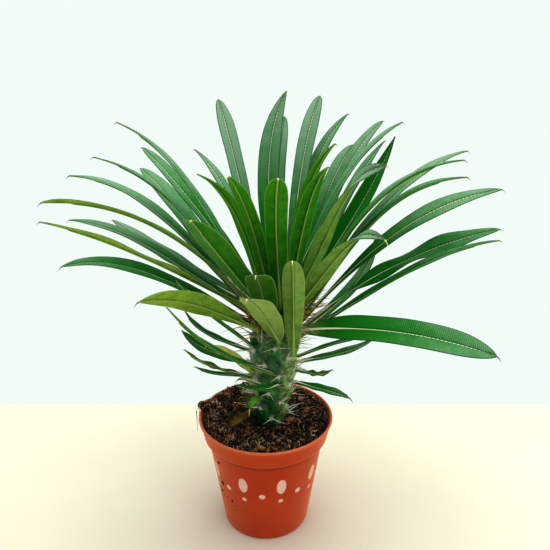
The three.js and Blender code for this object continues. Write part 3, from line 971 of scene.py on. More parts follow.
@dataclass(frozen=True)
class StemForm:
    """The swelling stem and the tubercles that spiral up it."""

    foot_x: float = 3.0
    foot_y: float = 3.0
    lean: float = 0.065
    root_z: float = 70.0
    soil_z: float = 99.0
    foot_radius: float = 14.3
    belly_radius: float = 18.4
    swell: float = 55.0
    crown_from_z: float = 194.0
    top_z: float = 222.0
    top_curve: float = 2.2
    tubercles: int = 58
    first_z: float = 101.0
    step_z: float = 2.05
    height: float = 4.0
    reach: float = 9.0
    dome: float = 1.6
    skin_radius: float = 19.0
    crown_fade: float = 30.0
    foot_fade: float = 6.0

    def radius(self, z: np.ndarray) -> np.ndarray:
        """The stem's radius without tubercles.

        Args:
            z: Heights, in millimetres.

        Returns:
            The radius at each height.
        """
        up = smooth((z - self.soil_z) / self.swell)
        body = self.foot_radius + (self.belly_radius - self.foot_radius) * up
        past = np.maximum(0, z - self.crown_from_z) / (self.top_z - self.crown_from_z)
        return body * np.sqrt(np.maximum(0, 1 - past**self.top_curve))

    def tubercle(self, i: int) -> Pair:
        """The angle and the height of a tubercle."""
        return i * GOLDEN_ANGLE, self.first_z + i * self.step_z

    def across(self, angle: np.ndarray, middle: float) -> np.ndarray:
        """How far round the skin each angle is from a tubercle's, in millimetres."""
        return np.arctan2(np.sin(angle - middle), np.cos(angle - middle)) * self.skin_radius

    def rise(self, angle: np.ndarray, z: np.ndarray) -> np.ndarray:
        """How far the tubercles raise the skin.

        Args:
            angle: Angles round the stem, in radians.
            z: Heights, in millimetres.

        Returns:
            The rise at each place, in millimetres.
        """
        angle, z = np.broadcast_arrays(np.asarray(angle, float), np.asarray(z, float))
        rise = np.zeros_like(z)
        for i in range(self.tubercles):
            middle, height = self.tubercle(i)
            along = z - height
            away = np.hypot(self.across(angle, middle), along * np.where(along > 0, 1.25, 0.9)) / self.reach
            rise = np.maximum(rise, self.height * (1 - np.minimum(away, 1) ** self.dome))
        foot = smooth((z - self.soil_z - 1) / self.foot_fade)
        return rise * smooth((self.top_z - z) / self.crown_fade) * foot

    def axis(self, z: np.ndarray) -> np.ndarray:
        """The middle of the stem, which leans a little to the right.

        Args:
            z: Heights, in millimetres.

        Returns:
            A point for each height.
        """
        z = np.asarray(z, float)
        x = self.foot_x + self.lean * np.maximum(0, z - self.soil_z)
        return np.stack([x, np.full_like(z, self.foot_y), z], axis=-1)

    def point(self, angle: np.ndarray, z: np.ndarray, out: np.ndarray | float = 0.0) -> np.ndarray:
        """Points on the skin, or so far out of it.

        Args:
            angle: Angles round the stem, in radians.
            z: Heights, in millimetres.
            out: How far out of the skin, in millimetres.

        Returns:
            A point for each place.
        """
        radius = self.radius(np.asarray(z, float)) + self.rise(angle, z) + out
        level = np.zeros_like(radius)
        return self.axis(z) + np.stack([radius * np.cos(angle), radius * np.sin(angle), level], axis=-1)


@dataclass
class Stem:
    """The trunk with its spines.

    Lengths are in millimetres. root_share is the share of the ball's height that goes under the soil. A
    spine's radius is spine_radius plus spine_swell for each millimetre of its length. Ranges are for random
    draws: turns aside and lifts are in degrees, and shares are of the length that a tubercle's spines have.
    The heart's spines stand in the crown, heart_share of them at its right and the others at its left.
    """

    form: StemForm
    sides: int = 132
    rings: int = 190
    seed: int = 7
    extra_spines: int = 190
    crown_spines: int = 120
    heart_spines: int = 90
    spine_radius: float = 0.29
    spine_swell: float = 0.008
    spine_growth: float = 1.25
    side_turn: Pair = (28, 46)
    side_lift: Pair = (-5, 25)
    side_share: Pair = (0.8, 1.15)
    middle_turn: Pair = (-12, 12)
    middle_lift: Pair = (20, 50)
    middle_share: Pair = (0.45, 0.7)
    low_length: float = 13
    high_length: float = 17
    foot_lift: float = 3.0
    young_from: float = 165.0
    young_fade: float = 35.0
    extra_turn: Pair = (-60, 60)
    extra_lift: Pair = (-25, 60)
    crown_span: float = 30.0
    crown_turn: Pair = (-60, 60)
    crown_lift: Pair = (-25, 75)
    crown_length: Pair = (12, 36)
    heart_depth: Pair = (2, 28)
    heart_right: Pair = (-70, 25)
    heart_left: Pair = (-195, -110)
    heart_share: float = 0.65
    heart_turn: Pair = (-50, 50)
    heart_lift: Pair = (-5, 78)
    heart_length: Pair = (18, 42)
    bow: Pair = (0.02, 0.09)
    old_from: float = 106.0
    old_to: float = 205.0
    sun_turn: float = 0.25
    pad_radius: float = 1.9
    pad_lift: float = 2.6
    pad_height: float = 0.6
    grit_height: float = 0.22
    softening: float = 2.4
    root_share: float = 0.06

    def trunk(self) -> bpy.types.Object:
        """The skin: a fine ball drawn out to the stem's outline, with tubercles, pads and furrows.

        Returns:
            The object.
        """
        ball_add = bpy.ops.mesh.primitive_uv_sphere_add
        obj = primitive(ball_add, "trunk", segments=self.sides, ring_count=self.rings, radius=1.0)
        ball = corners_of(obj)
        f = self.form
        share = 1 - np.arccos(np.clip(ball[:, 2], -1, 1)) / math.pi
        angle = np.arctan2(ball[:, 1], ball[:, 0])
        low = f.soil_z - 4
        first = 1 / self.rings
        below = np.maximum(share - first, 0) / (self.root_share - first)
        above = np.clip((share - self.root_share) / (1 - self.root_share), 0, 1)
        z = np.where(
            share < self.root_share,
            f.root_z + (low - f.root_z) * below,
            low + (f.top_z - low) * np.sin(above * math.pi / 2) ** 0.9,
        )
        at_pole = np.abs(ball[:, 2]) > 1 - 1e-6
        rise = f.rise(angle, z)
        pad = np.zeros(len(z))
        for i in range(f.tubercles):
            middle, height = f.tubercle(i)
            away = f.across(angle, middle) ** 2 + (z - height - self.pad_lift) ** 2
            pad = np.maximum(pad, np.exp(-(away / self.pad_radius**2)))
        pad *= smooth((z - f.soil_z - 2) / f.foot_fade)
        where = np.column_stack([ball[:, :2], z / 20]) * 9.0
        grit = np.array([noise.noise(Vector(p)) for p in where.tolist()])
        skin = smooth((f.top_z - z) / 8)
        soft = np.zeros(len(z))
        for turn, lift in ((0, 0), (1, 0), (-1, 0), (0, 1), (0, -1)):
            aside = turn * self.softening / f.skin_radius
            soft += f.rise(angle + aside, z + lift * self.softening) / 5
        out = self.pad_height * pad * skin + self.grit_height * grit * skin + soft - rise
        points = f.point(angle, z, out)
        points[at_pole, :2] = f.axis(z[at_pole])[:, :2]
        move_corners(obj, points * MM)
        write_attribute(obj, "stem_rise", soft / f.height)
        write_attribute(obj, "stem_pad", pad)
        left = 0.5 - 0.5 * np.cos(angle)
        age = smooth((self.old_to - z) / 60) * smooth((z - self.old_from) / 14) * left**2
        write_attribute(obj, "stem_age", age)
        write_attribute(obj, "stem_sun", smooth(np.cos(angle + self.sun_turn) * 1.8 - 0.75))
        bpy.ops.object.shade_smooth()
        obj.data.materials.append(BarkFinish().material())
        return obj

    def spine_form(self) -> bpy.types.Object:
        """One straight spine, 1 long and 1 in radius: a cone cut in four, with a thick foot.

        Returns:
            The object.
        """
        obj = primitive(
            bpy.ops.mesh.primitive_cone_add, "spine_form", vertices=5, radius1=1, radius2=0.04, depth=1,
            location=(0, 0, 0.5),
        )
        start_edit(obj)
        for height in (0.2, 0.45, 0.72):
            cut_across(2, height)
        end_edit()
        points = corners_of(obj)
        along = points[:, 2:]
        points[:, :2] *= (1 + 0.25 * np.sin(along * math.pi)) * np.where(along < 0.1, 1.3, 1)
        move_corners(obj, points)
        return obj

    def spine_rows(self) -> list[tuple[np.ndarray, np.ndarray, float, float]]:
        """Places every spine: three on each tubercle, finer ones between them and the tangle of the crown.

        Returns:
            The foot, direction, length and youth of each spine.
        """
        f = self.form
        draws = Draws(self.seed)
        rng = np.random.default_rng(self.seed)
        rows = []

        def add(angle: float, z: float, turn: float, lift: float, length: float) -> None:
            """Adds one spine.

            Args:
                angle: Where round the stem it stands, in radians.
                z: Its height.
                turn: How far it turns aside, in degrees.
                lift: How far it points up, in degrees.
                length: Its length, in millimetres.
            """
            heading = angle + math.radians(turn)
            lift = math.radians(lift)
            level = math.cos(lift)
            direction = np.array([level * math.cos(heading), level * math.sin(heading), math.sin(lift)])
            youth = float(smooth((z - self.young_from) / self.young_fade))
            rows.append((f.point(angle, z, -0.6), direction, length, youth))

        for i in range(f.tubercles):
            angle, z = f.tubercle(i)
            long = self.low_length if i < f.tubercles / 2 else self.high_length
            low, high = self.side_turn
            for turns, lifts, shares in (
                ((low, high), self.side_lift, self.side_share),
                ((-high, -low), self.side_lift, self.side_share),
                (self.middle_turn, self.middle_lift, self.middle_share),
            ):
                turn, lift = draws.between(*turns), draws.between(*lifts)
                length = long * draws.between(*shares) * self.spine_growth
                add(angle, z + self.foot_lift, turn, lift, length)
        for _ in range(self.extra_spines):
            i = int(rng.integers(f.tubercles))
            angle, z = f.tubercle(i)
            length = 3 + 12 * rng.beta(1.5, 2.2)
            angle += rng.uniform(-0.08, 0.08)
            turn, lift = rng.uniform(*self.extra_turn), rng.uniform(*self.extra_lift)
            add(angle, z + self.foot_lift, turn, lift, length)
        for _ in range(self.crown_spines):
            z = f.crown_from_z + self.crown_span * (rng.beta(1.6, 1.4) - 0.5)
            angle = rng.uniform(0, TAU)
            turn, lift = rng.uniform(*self.crown_turn), rng.uniform(*self.crown_lift)
            add(angle, z, turn, lift, rng.uniform(*self.crown_length))
        for _ in range(self.heart_spines):
            z = f.top_z - rng.uniform(*self.heart_depth)
            side = self.heart_right if rng.random() < self.heart_share else self.heart_left
            angle = math.radians(rng.uniform(*side))
            turn, lift = rng.uniform(*self.heart_turn), rng.uniform(*self.heart_lift)
            add(angle, z, turn, lift, rng.uniform(*self.heart_length))
        return rows

    def spines(self) -> bpy.types.Object:
        """All spines as one piece.

        Returns:
            The object.
        """
        form = self.spine_form()
        steps = corners_of(form)[:, 2]
        rows = self.spine_rows()
        frames, places = [], []
        rng = np.random.default_rng(self.seed + 1)
        for foot, direction, length, _ in rows:
            side = unit(np.cross(direction, rng.normal(size=3)))
            other = np.cross(direction, side)
            thick = self.spine_radius + self.spine_swell * length
            frames.append([side * thick, other * thick, direction * length])
            places.append(foot)
        obj = scattered("spines", form, np.array(frames) * MM, np.array(places) * MM, True)
        points = corners_of(obj).reshape(len(rows), -1, 3)
        bow = np.array([unit(rng.normal(size=3)) * row[2] * rng.uniform(*self.bow) for row in rows]) * MM
        points += bow[:, None, :] * (steps[None, :, None] ** 2)
        move_corners(obj, points.reshape(-1, 3))
        face_outwards(obj)
        write_attribute(obj, "spine_along", np.tile(steps, len(rows)))
        write_attribute(obj, "spine_young", np.repeat([row[3] for row in rows], len(steps)))
        obj.data.materials.append(SpineFinish().material())
        return obj

    def build(self) -> list[bpy.types.Object]:
        """Builds the trunk and the spines.

        Returns:
            Both pieces.
        """
        trunk = self.trunk()
        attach(trunk, "root")
        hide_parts("stem")
        spines = self.spines()
        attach(spines, "root")
        return [trunk, spines]


# ---- leaves ---------------------------------------------------------------------------------------------


@dataclass(frozen=True)
class LeafPlan:
    """Where a leaf goes: foot height on the stem, tip, arch above the straight line, width and the rest.

    Lengths are in millimetres and angles in degrees. side bows it to the left as seen from its foot. bend
    is 1 where the bow is highest in the middle, and more where it is highest nearer the tip. turn shifts
    the foot round the stem. roll leans the blade about its line, and twist does so towards the tip. taper
    keeps it narrow for longer, and wave raises and lowers its edges. point is 0 for a round tip and 1 for
    a drawn-out one. widest is where along it the blade is widest. pale is how much bloom the upper side
    has, a bloom that is partly painted sheen. horn is 0 for a fresh yellow bristle and 1 for a dry one.
    olive is how far the underside has turned to a dull olive green.
    """

    foot: float
    tip: Triple
    arch: float
    width: float
    side: float = 0
    bend: float = 3
    turn: float = 0
    roll: float = 0
    twist: float = 0
    taper: float = 0.8
    wave: float = 0
    point: float = 0.6
    widest: float = 0.55
    tone: Tone = Tone.GREEN
    pale: float = 0.5
    horn: float = 1
    olive: float = 0


LEAVES = (
    LeafPlan(213, (-117, 20, 357), 14, 15, point=1.2, bend=4, pale=0.6),  # 1
    LeafPlan(214, (-108, 60, 334), 4, 20, turn=-6, point=0.2, pale=0.3),  # 2
    LeafPlan(207, (-132, 0, 332), 17, 14, point=1.3, pale=0.5),  # 3
    LeafPlan(192, (-120, 100, 311), 6, 22, point=0.1, pale=0.25),  # 4
    LeafPlan(202, (-160, 20, 315), 20, 19, pale=0.45),  # 5
    LeafPlan(
        208, (-160, -40, 304), 22, 15, twist=30, bend=2, point=0.2, widest=0.7, taper=1.2, tone=Tone.OLIVE,
    ),  # 6
    LeafPlan(204, (-154, -60, 294), 6, 14, roll=20, wave=1.2, tone=Tone.OLIVE),  # 7
    LeafPlan(197, (-164, 20, 278), 12, 18, point=0.4, pale=0.4),  # 8
    # painted light: pale is set high on this leaf to paint it lighter where it stands in shade
    LeafPlan(203, (-140, 60, 269), -2, 20, wave=1.2, point=0.4, pale=0.75),  # 9
    LeafPlan(191, (-172, 10, 240), 17, 20, roll=-8, point=0.3, widest=0.7, pale=0),  # 10
    LeafPlan(175, (-68, -30, 241), -3, 14, pale=0),  # 11
    LeafPlan(191, (-83, -90, 246), 8, 20, roll=55, widest=0.65, taper=1.6, tone=Tone.OLIVE),  # 12
    LeafPlan(210, (-41, -115, 307), 0, 23, turn=-10, point=0, pale=0.1, horn=0, olive=0.1),  # 13
    LeafPlan(216, (-59, 40, 334), 10, 14, pale=0.5),  # 14
    LeafPlan(214, (-44, -60, 327), 14, 17, point=1, horn=0),  # 15
    LeafPlan(212, (-41, 70, 374), 6, 16, side=2, turn=4, point=0, widest=0.8, pale=0.75),  # 16
    LeafPlan(212, (-20, -100, 331), 10, 12, turn=2, point=0.3, pale=0.5, horn=0),  # 17
    LeafPlan(216, (18, 60, 381), 8, 18, side=10, turn=14, pale=0.45),  # 18
    LeafPlan(204, (17, 90, 359), 6, 13, side=4, point=0, pale=0.5),  # 19
    LeafPlan(212, (10, -110, 331), 6, 15, side=-2, turn=8, point=0, taper=0.5, pale=0.2, horn=0),  # 20
    LeafPlan(218, (48, 80, 377), 8, 15, side=2, turn=-14, point=0, widest=0.8, pale=0.6),  # 21
    LeafPlan(213, (72, 70, 362), 10, 15, side=8, turn=8, pale=0.45),  # 22
    LeafPlan(217, (49, -50, 346), 14, 11, turn=4, pale=0.5),  # 23
    LeafPlan(206, (42, -80, 334), 11, 14, bend=5, pale=0.2),  # 24
    LeafPlan(206, (82, 100, 333), 4, 17, side=4, turn=-4, point=0, pale=0.3),  # 25
    LeafPlan(207, (103, 70, 356), 10, 15, side=4, point=0, pale=0.45),  # 26
    LeafPlan(219, (109, 20, 357), 14, 14, point=0.3, pale=0.55),  # 27
    LeafPlan(203, (100, 40, 341), 6, 17, turn=10, pale=0.4),  # 28
    LeafPlan(210, (103, 14, 346), -4, 20, roll=25, taper=1.2, point=0.9, pale=-0.2),  # 29
    LeafPlan(
        212, (87, -40, 330), 13, 17, roll=-40, twist=110, bend=8, point=0.3, pale=0.6, horn=0, olive=0.7,
    ),  # 30
    LeafPlan(198, (170, 40, 333), 17, 17, point=0.2, widest=0.7, pale=0.5),  # 31
    LeafPlan(205, (148, -20, 332), 22, 15, pale=0.4),  # 32
    LeafPlan(199, (155, -10, 318), 22, 17, turn=-4, pale=0.15),  # 33
    LeafPlan(
        192, (192, 12, 305), 19, 18, roll=25, bend=2, taper=1.8, widest=0.75, point=0.4, pale=0.4,
    ),  # 34
    LeafPlan(
        206, (79, -90, 289), 14, 15, roll=-35, twist=90, bend=8, point=0.5, pale=0.5, horn=0, olive=0.8,
    ),  # 35
    LeafPlan(
        186, (196, 16, 271), 13, 18, roll=25, bend=1, wave=3, taper=1.6, widest=0.75, point=0.3, pale=0.03,
    ),  # 36
    LeafPlan(178, (186, -10, 268), 10, 14, pale=0.15),  # 37
    LeafPlan(187, (175, -60, 191), 10, 24, roll=35, bend=1, widest=0.35, point=0.35, pale=0.25),  # 38
    LeafPlan(160, (80, 0, 178), 2, 7, pale=0.3),  # 39
    LeafPlan(152, (96, 20, 168), -4, 11, pale=0.1),  # 40
    LeafPlan(147, (58, 0, 148), -4, 8, wave=1, tone=Tone.OLIVE),  # 41
    LeafPlan(140, (70, -30, 138), 1, 11, pale=0.05),  # 42
    LeafPlan(196, (-4, -100, 268), 5, 20, turn=-8, point=0.2, pale=0.15, horn=0, olive=0.35),  # 43
    LeafPlan(184, (-9, -116, 258), 4, 22, turn=16, point=0.3, taper=0.6, pale=0.8, horn=0, olive=1),  # 44
    LeafPlan(166, (19, -108, 280), 12, 16, turn=42, taper=0.6, pale=0.7, horn=0, olive=0.75),  # 45
    LeafPlan(172, (102, 60, 254), -16, 15, pale=0.3),  # 46
    LeafPlan(155, (-70, -60, 230), -6, 12, side=13, turn=46, pale=0.2),  # 47
    LeafPlan(166, (-68, 0, 204), -7, 10, pale=0),  # 48
    LeafPlan(147, (-73, 10, 181), -6, 12, turn=-25, roll=-25, pale=0),  # 49
    LeafPlan(143, (-66, -20, 177), -4, 7, wave=1, tone=Tone.OLIVE),  # 50
    LeafPlan(144, (-24, -12, 145), 2, 4, turn=25, tone=Tone.YELLOW, horn=0),  # 51
    LeafPlan(
        152, (-47, -20, 181), 3, 12, turn=8, roll=45, widest=0.35, point=1, tone=Tone.YELLOW, horn=0,
    ),  # 52
    LeafPlan(139, (-61, 0, 151), -3, 6, turn=-12, pale=0.1),  # 53
    LeafPlan(143, (-22, -40, 156), 1, 9, side=10, turn=46, point=0.4, pale=0),  # 54
    LeafPlan(128, (-13, -29, 127), 7, 14, tone=Tone.BRIGHT, horn=0),  # 55
    LeafPlan(114, (-31, -24, 106), 4, 12, roll=-35, tone=Tone.DEAD),  # 56
    LeafPlan(190, (-4, 150, 246), 10, 20),  # 57
)


class LeafLine:
    """The middle line of a leaf: straight from its foot, bowed, and falling off towards its tip."""

    foot_gap = 2.0

    def __init__(self, plan: LeafPlan, stem: StemForm) -> None:
        """Finds where the foot stands and which way the leaf bows.

        Args:
            plan: The leaf.
            stem: The stem that carries it.
        """
        self.bend = plan.bend
        self.peak = (1 + plan.bend) ** (-1 / plan.bend) * plan.bend / (1 + plan.bend)
        tip = np.array(plan.tip, float)
        middle = stem.axis(plan.foot)
        outward = math.atan2(tip[1] - middle[1], tip[0] - middle[0]) + math.radians(plan.turn)
        self.start = stem.point(outward, plan.foot, self.foot_gap)
        self.chord = tip - self.start
        heading = math.atan2(self.chord[1], self.chord[0])
        self.left = np.array([-math.sin(heading), math.cos(heading), 0.0])
        up = unit(np.cross(self.chord, self.left))
        self.bow = up * plan.arch + self.left * plan.side
        self.length = float(np.linalg.norm(self.chord))

    def point(self, t: np.ndarray) -> np.ndarray:
        """The points at t, from 0 at the foot to 1 at the tip."""
        bowed = t * (1 - t**self.bend) / self.peak
        return self.start + self.chord * t[:, None] + self.bow * bowed[:, None]

    def direction(self, t: np.ndarray) -> np.ndarray:
        """The directions of the line at t."""
        slope = (1 - (self.bend + 1) * t**self.bend) / self.peak
        return unit(self.chord + self.bow * slope[:, None])


@dataclass
class Leaves:
    """The leaves: one blade modelled flat, then copied and laid along each leaf's own line.

    Widths, depths and thicknesses are in millimetres. What ends in share, from or to is a part of the
    leaf's length. foot_flare and foot_swell say how much wider and thicker the foot gets, bristle_narrow
    and bristle_thin how much narrower and thinner the bristle. The bristle's hook falls by hook_drop for
    each part that it goes on, and hook_length is the length that this gives it.
    """

    stem: StemForm
    rows: int = 44
    gather: float = 1.6
    columns: tuple[float, ...] = (0.07, 0.16, 0.35, 0.6, 0.82, 0.96)
    foot_share: float = 0.05
    foot_reach: float = 4.5
    foot_flare: float = 0.35
    foot_swell: float = 0.2
    bristle_share: float = 0.2
    bristle_cuts: int = 5
    bristle: float = 5.0
    bristle_narrow: float = 0.85
    bristle_thin: float = 0.8
    hook_drop: float = 0.9
    hook_curve: float = 1.7
    hook_length: float = 1.345
    rounding_from: float = 0.8
    rounding: float = 2.2
    point_reach: float = 0.3
    edge: float = 0.7
    rib: float = 1.7
    rib_to: float = 0.9
    tip_rib: float = 0.6
    keel_width: float = 1.2
    groove_depth: float = 0.3
    groove_width: float = 0.75
    stalk_share: float = 0.35
    stalk_width: float = 3.6
    stalk_thickness: float = 2.4
    blade_from: float = 0.2
    blade_to: float = 0.96
    fold: float = 0.2
    cupping: float = 0.05
    tip_width: float = 0.9
    late: float = 3.0
    waves: float = 3.0
    ripple: float = 0.3
    ripple_turn: float = 19.0

    def flat_blade(self) -> bpy.types.Object:
        """The blade laid flat: -1 to 1 across, 0 to 1 along and 1 thick, with its foot and its bristle.

        Returns:
            The object.
        """
        low, high = -self.foot_share, 1 + self.bristle_share
        plane_add = bpy.ops.mesh.primitive_plane_add
        middle = (0, (low + high) / 2, 0)
        obj = primitive(plane_add, "flat_blade", (2, high - low, 1), size=1, location=middle)
        start_edit(obj)
        for x in [0.0] + [side * x for x in self.columns for side in (1, -1)]:
            cut_across(0, x)
        steps = [1 - (1 - i / self.rows) ** self.gather for i in range(self.rows + 1)]
        steps += [1 + self.bristle_share * i / self.bristle_cuts for i in range(1, self.bristle_cuts)]
        for y in steps:
            cut_across(1, y)
        bpy.ops.mesh.select_all(action="SELECT")
        bpy.ops.mesh.extrude_region_move(TRANSFORM_OT_translate={"value": (0, 0, -1)})
        cut_across(2, -0.5)
        bpy.ops.mesh.select_all(action="SELECT")
        bpy.ops.mesh.remove_doubles(threshold=1e-5)
        bpy.ops.mesh.normals_make_consistent(inside=False)
        end_edit()
        bpy.ops.object.shade_smooth()
        return obj

    def half_width(self, t: np.ndarray, plan: LeafPlan) -> np.ndarray:
        """Half the blade's width.

        Args:
            t: How far along the leaf, from 0 to 1.
            plan: The leaf.

        Returns:
            Half the width at each t, in millimetres.
        """
        swelling = np.sin(math.pi / 2 * np.minimum(1, t / plan.widest)) ** plan.taper
        tip_from = self.rounding_from - self.point_reach * plan.point
        past = np.maximum(0, t - tip_from) / (1 - tip_from)
        shape = swelling * np.maximum(0, 1 - past**self.rounding) ** (0.5 + 0.5 * plan.point)
        stalk = 1 - smooth(t / self.stalk_share)
        blade = np.maximum(plan.width / 2 * shape, self.tip_width / 2)
        return np.maximum(blade, self.stalk_width / 2 * stalk)

    def lay(self, obj: bpy.types.Object, flat: np.ndarray, plan: LeafPlan, number: int) -> None:
        """Lays a copy of the flat blade along its leaf's line.

        Args:
            obj: The copy.
            flat: The flat blade's vertices.
            plan: The leaf.
            number: Its number, which gives its own slight unevenness.
        """
        line = LeafLine(plan, self.stem)
        u, v, w = -flat[:, 0], flat[:, 1], -flat[:, 2]
        t = np.clip(v, 0, 1)
        along = line.direction(t)
        flatwise = unit(line.left - along * (along @ line.left)[:, None])
        top = np.cross(along, flatwise)
        lean = np.radians(plan.roll + plan.twist * t**self.late)[:, None]
        across = flatwise * np.cos(lean) + top * np.sin(lean)
        upper = top * np.cos(lean) - flatwise * np.sin(lean)

        foot = np.maximum(0, -v) / self.foot_share
        past = np.maximum(0, v - 1) / self.bristle_share
        hook = along * past[:, None] + self.hook_drop * DOWN * (past**self.hook_curve)[:, None]
        place = line.point(t) - along * (foot * self.foot_reach)[:, None]
        place = place + hook * self.bristle / self.hook_length

        stalk = 1 - smooth(t / self.stalk_share)
        half = self.half_width(t, plan) * (1 + self.foot_flare * foot) * (1 - self.bristle_narrow * past)
        thin = 1 - self.bristle_thin * past
        edge = self.edge + (self.stalk_thickness - self.edge) * stalk * 0.8
        edge = edge * (1 + self.foot_swell * foot) * thin
        rib = self.rib + (self.stalk_thickness - self.rib) * stalk
        rib = np.maximum(rib * np.where(t > self.rib_to, self.tip_rib, 1) * thin, edge)
        blade = smooth(t / self.blade_from) * (1 - smooth((t - self.blade_to) / (1 - self.blade_to)))
        ripple = self.ripple * np.sin(t * self.ripple_turn + number * 2.4) * blade * smooth(half / 6)
        wave = plan.wave * np.sin(t * self.waves * TAU) * np.sin(t * math.pi) + ripple
        x = u * half
        cup = self.cupping * half * np.sin(np.abs(u) * math.pi) * blade
        middle = np.abs(u) * half * self.fold + u * wave + cup
        groove = self.groove_depth * np.exp(-((x / self.groove_width) ** 2)) * blade
        keel = (rib - edge) * np.exp(-((x / self.keel_width) ** 2))
        height = middle + np.where(w < 0.25, edge / 2 - groove, np.where(w > 0.75, -edge / 2 - keel, 0))
        rim = np.where(np.abs(w - 0.5) < 0.25, np.sign(u) * edge * 0.35 * (np.abs(u) > 0.99), 0)
        points = place + across * (x + rim)[:, None] + upper * height[:, None]
        move_corners(obj, np.clip(points * MM, *CAD_BOX))
        tint = plan.pale + 0.06 * math.sin(number * 5.1)
        write_attribute(obj, "leaf_mm", np.stack([x, t * line.length + number * 7.3, w], axis=1))
        write_attribute(obj, "leaf_share", np.stack([u, v, np.full_like(u, tint)], axis=1))
        write_attribute(obj, "leaf_rim", half - np.abs(x))
        write_attribute(obj, "leaf_horn", np.full_like(u, plan.horn))
        write_attribute(obj, "leaf_olive", np.full_like(u, plan.olive))

    def build(self) -> list[bpy.types.Object]:
        """Builds every leaf.

        Returns:
            The leaves in order.
        """
        master = self.flat_blade()
        flat = corners_of(master)
        materials = {tone: finish.material() for tone, finish in LEAF_FINISHES.items()}
        pieces = []
        for number, plan in enumerate(LEAVES, start=1):
            obj = copy_of(master, f"blade_{number:02d}")
            self.lay(obj, flat, plan, number)
            obj.data.materials.append(materials[plan.tone])
            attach(obj, "root")
            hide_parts(f"leaf_{number:02d}")
            pieces.append(obj)
        bpy.data.objects.remove(master)
        return pieces


# ---- pot ------------------------------------------------------------------------------------------------


@dataclass
class Pot:
    """The nursery pot: a thin tapered shell with a collar, a rounded lip and drain holes.

    The rows of outside and inside are a radius and a height.
    """

    sides: int = 128
    outside: tuple[Pair, ...] = (
        (36.8, 0), (37.9, 0.1), (38.6, 0.5), (38.95, 1.2), (40.0, 8.0), (43.4, 30.0), (47.4, 56.0),
        (51.5, 83.5), (51.9, 85.9), (52.3, 86.5), (54.5, 86.9), (55.2, 87.2), (55.6, 87.8), (55.85, 89.0),
        (57.1, 95.0), (58.3, 101.6), (58.6, 102.3), (59.2, 102.6), (59.7, 102.9), (59.95, 103.4),
        (60.0, 103.9), (59.85, 104.4), (59.5, 104.75), (58.9, 105.0), (58.4, 104.9), (58.0, 104.6),
    )
    inside: tuple[Pair, ...] = (
        (57.7, 103.8), (56.0, 96.0), (54.2, 89.2), (53.8, 88.4), (51.0, 87.6), (50.4, 87.0), (50.1, 85.0),
        (45.6, 55.0), (37.8, 4.0), (37.2, 2.9), (36.2, 2.4),
    )
    drain_holes: int = 8
    drain_radius: float = 4.0
    drain_circle: float = 27.0
    drain_sides: int = 24
    drain_depth: float = 10.0
    smooth_up_to: float = 32.0

    def shell(self) -> bpy.types.Object:
        """A disc that is extruded ring by ring up the outside, over the lip and down the inside.

        Returns:
            The object.
        """
        obj = disc("nursery_pot", self.sides, *self.outside[0])
        start_edit(obj)
        draw_on(*self.outside[0], (*self.outside[1:], *self.inside))
        end_edit()
        face_outwards(obj)
        return obj

    def cut_drains(self, obj: bpy.types.Object) -> None:
        """Cuts the drain holes through the floor.

        Args:
            obj: The pot's shell.
        """
        for i in range(self.drain_holes):
            angle = i * TAU / self.drain_holes
            x, y = self.drain_circle * MM * math.cos(angle), self.drain_circle * MM * math.sin(angle)
            cutter = primitive(
                bpy.ops.mesh.primitive_cylinder_add, "drain_cutter", vertices=self.drain_sides,
                radius=self.drain_radius * MM, depth=self.drain_depth * MM, location=(x, y, 0),
            )
            modifier = obj.modifiers.new("drain", "BOOLEAN")
            modifier.operation = "DIFFERENCE"
            modifier.solver = "EXACT"
            modifier.object = cutter
            bpy.context.view_layer.objects.active = obj
            bpy.ops.object.modifier_apply(modifier=modifier.name)
            bpy.data.objects.remove(cutter)

    def build(self) -> list[bpy.types.Object]:
        """Builds the pot.

        Returns:
            The one piece.
        """
        pot = self.shell()
        self.cut_drains(pot)
        bpy.ops.object.select_all(action="DESELECT")
        pot.select_set(True)
        bpy.context.view_layer.objects.active = pot
        bpy.ops.object.shade_smooth_by_angle(angle=math.radians(self.smooth_up_to))
        pot.data.materials.append(PotFinish().material())
        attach(pot, "root")
        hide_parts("pot")
        return [pot]


# ---- soil -----------------------------------------------------------------------------------------------


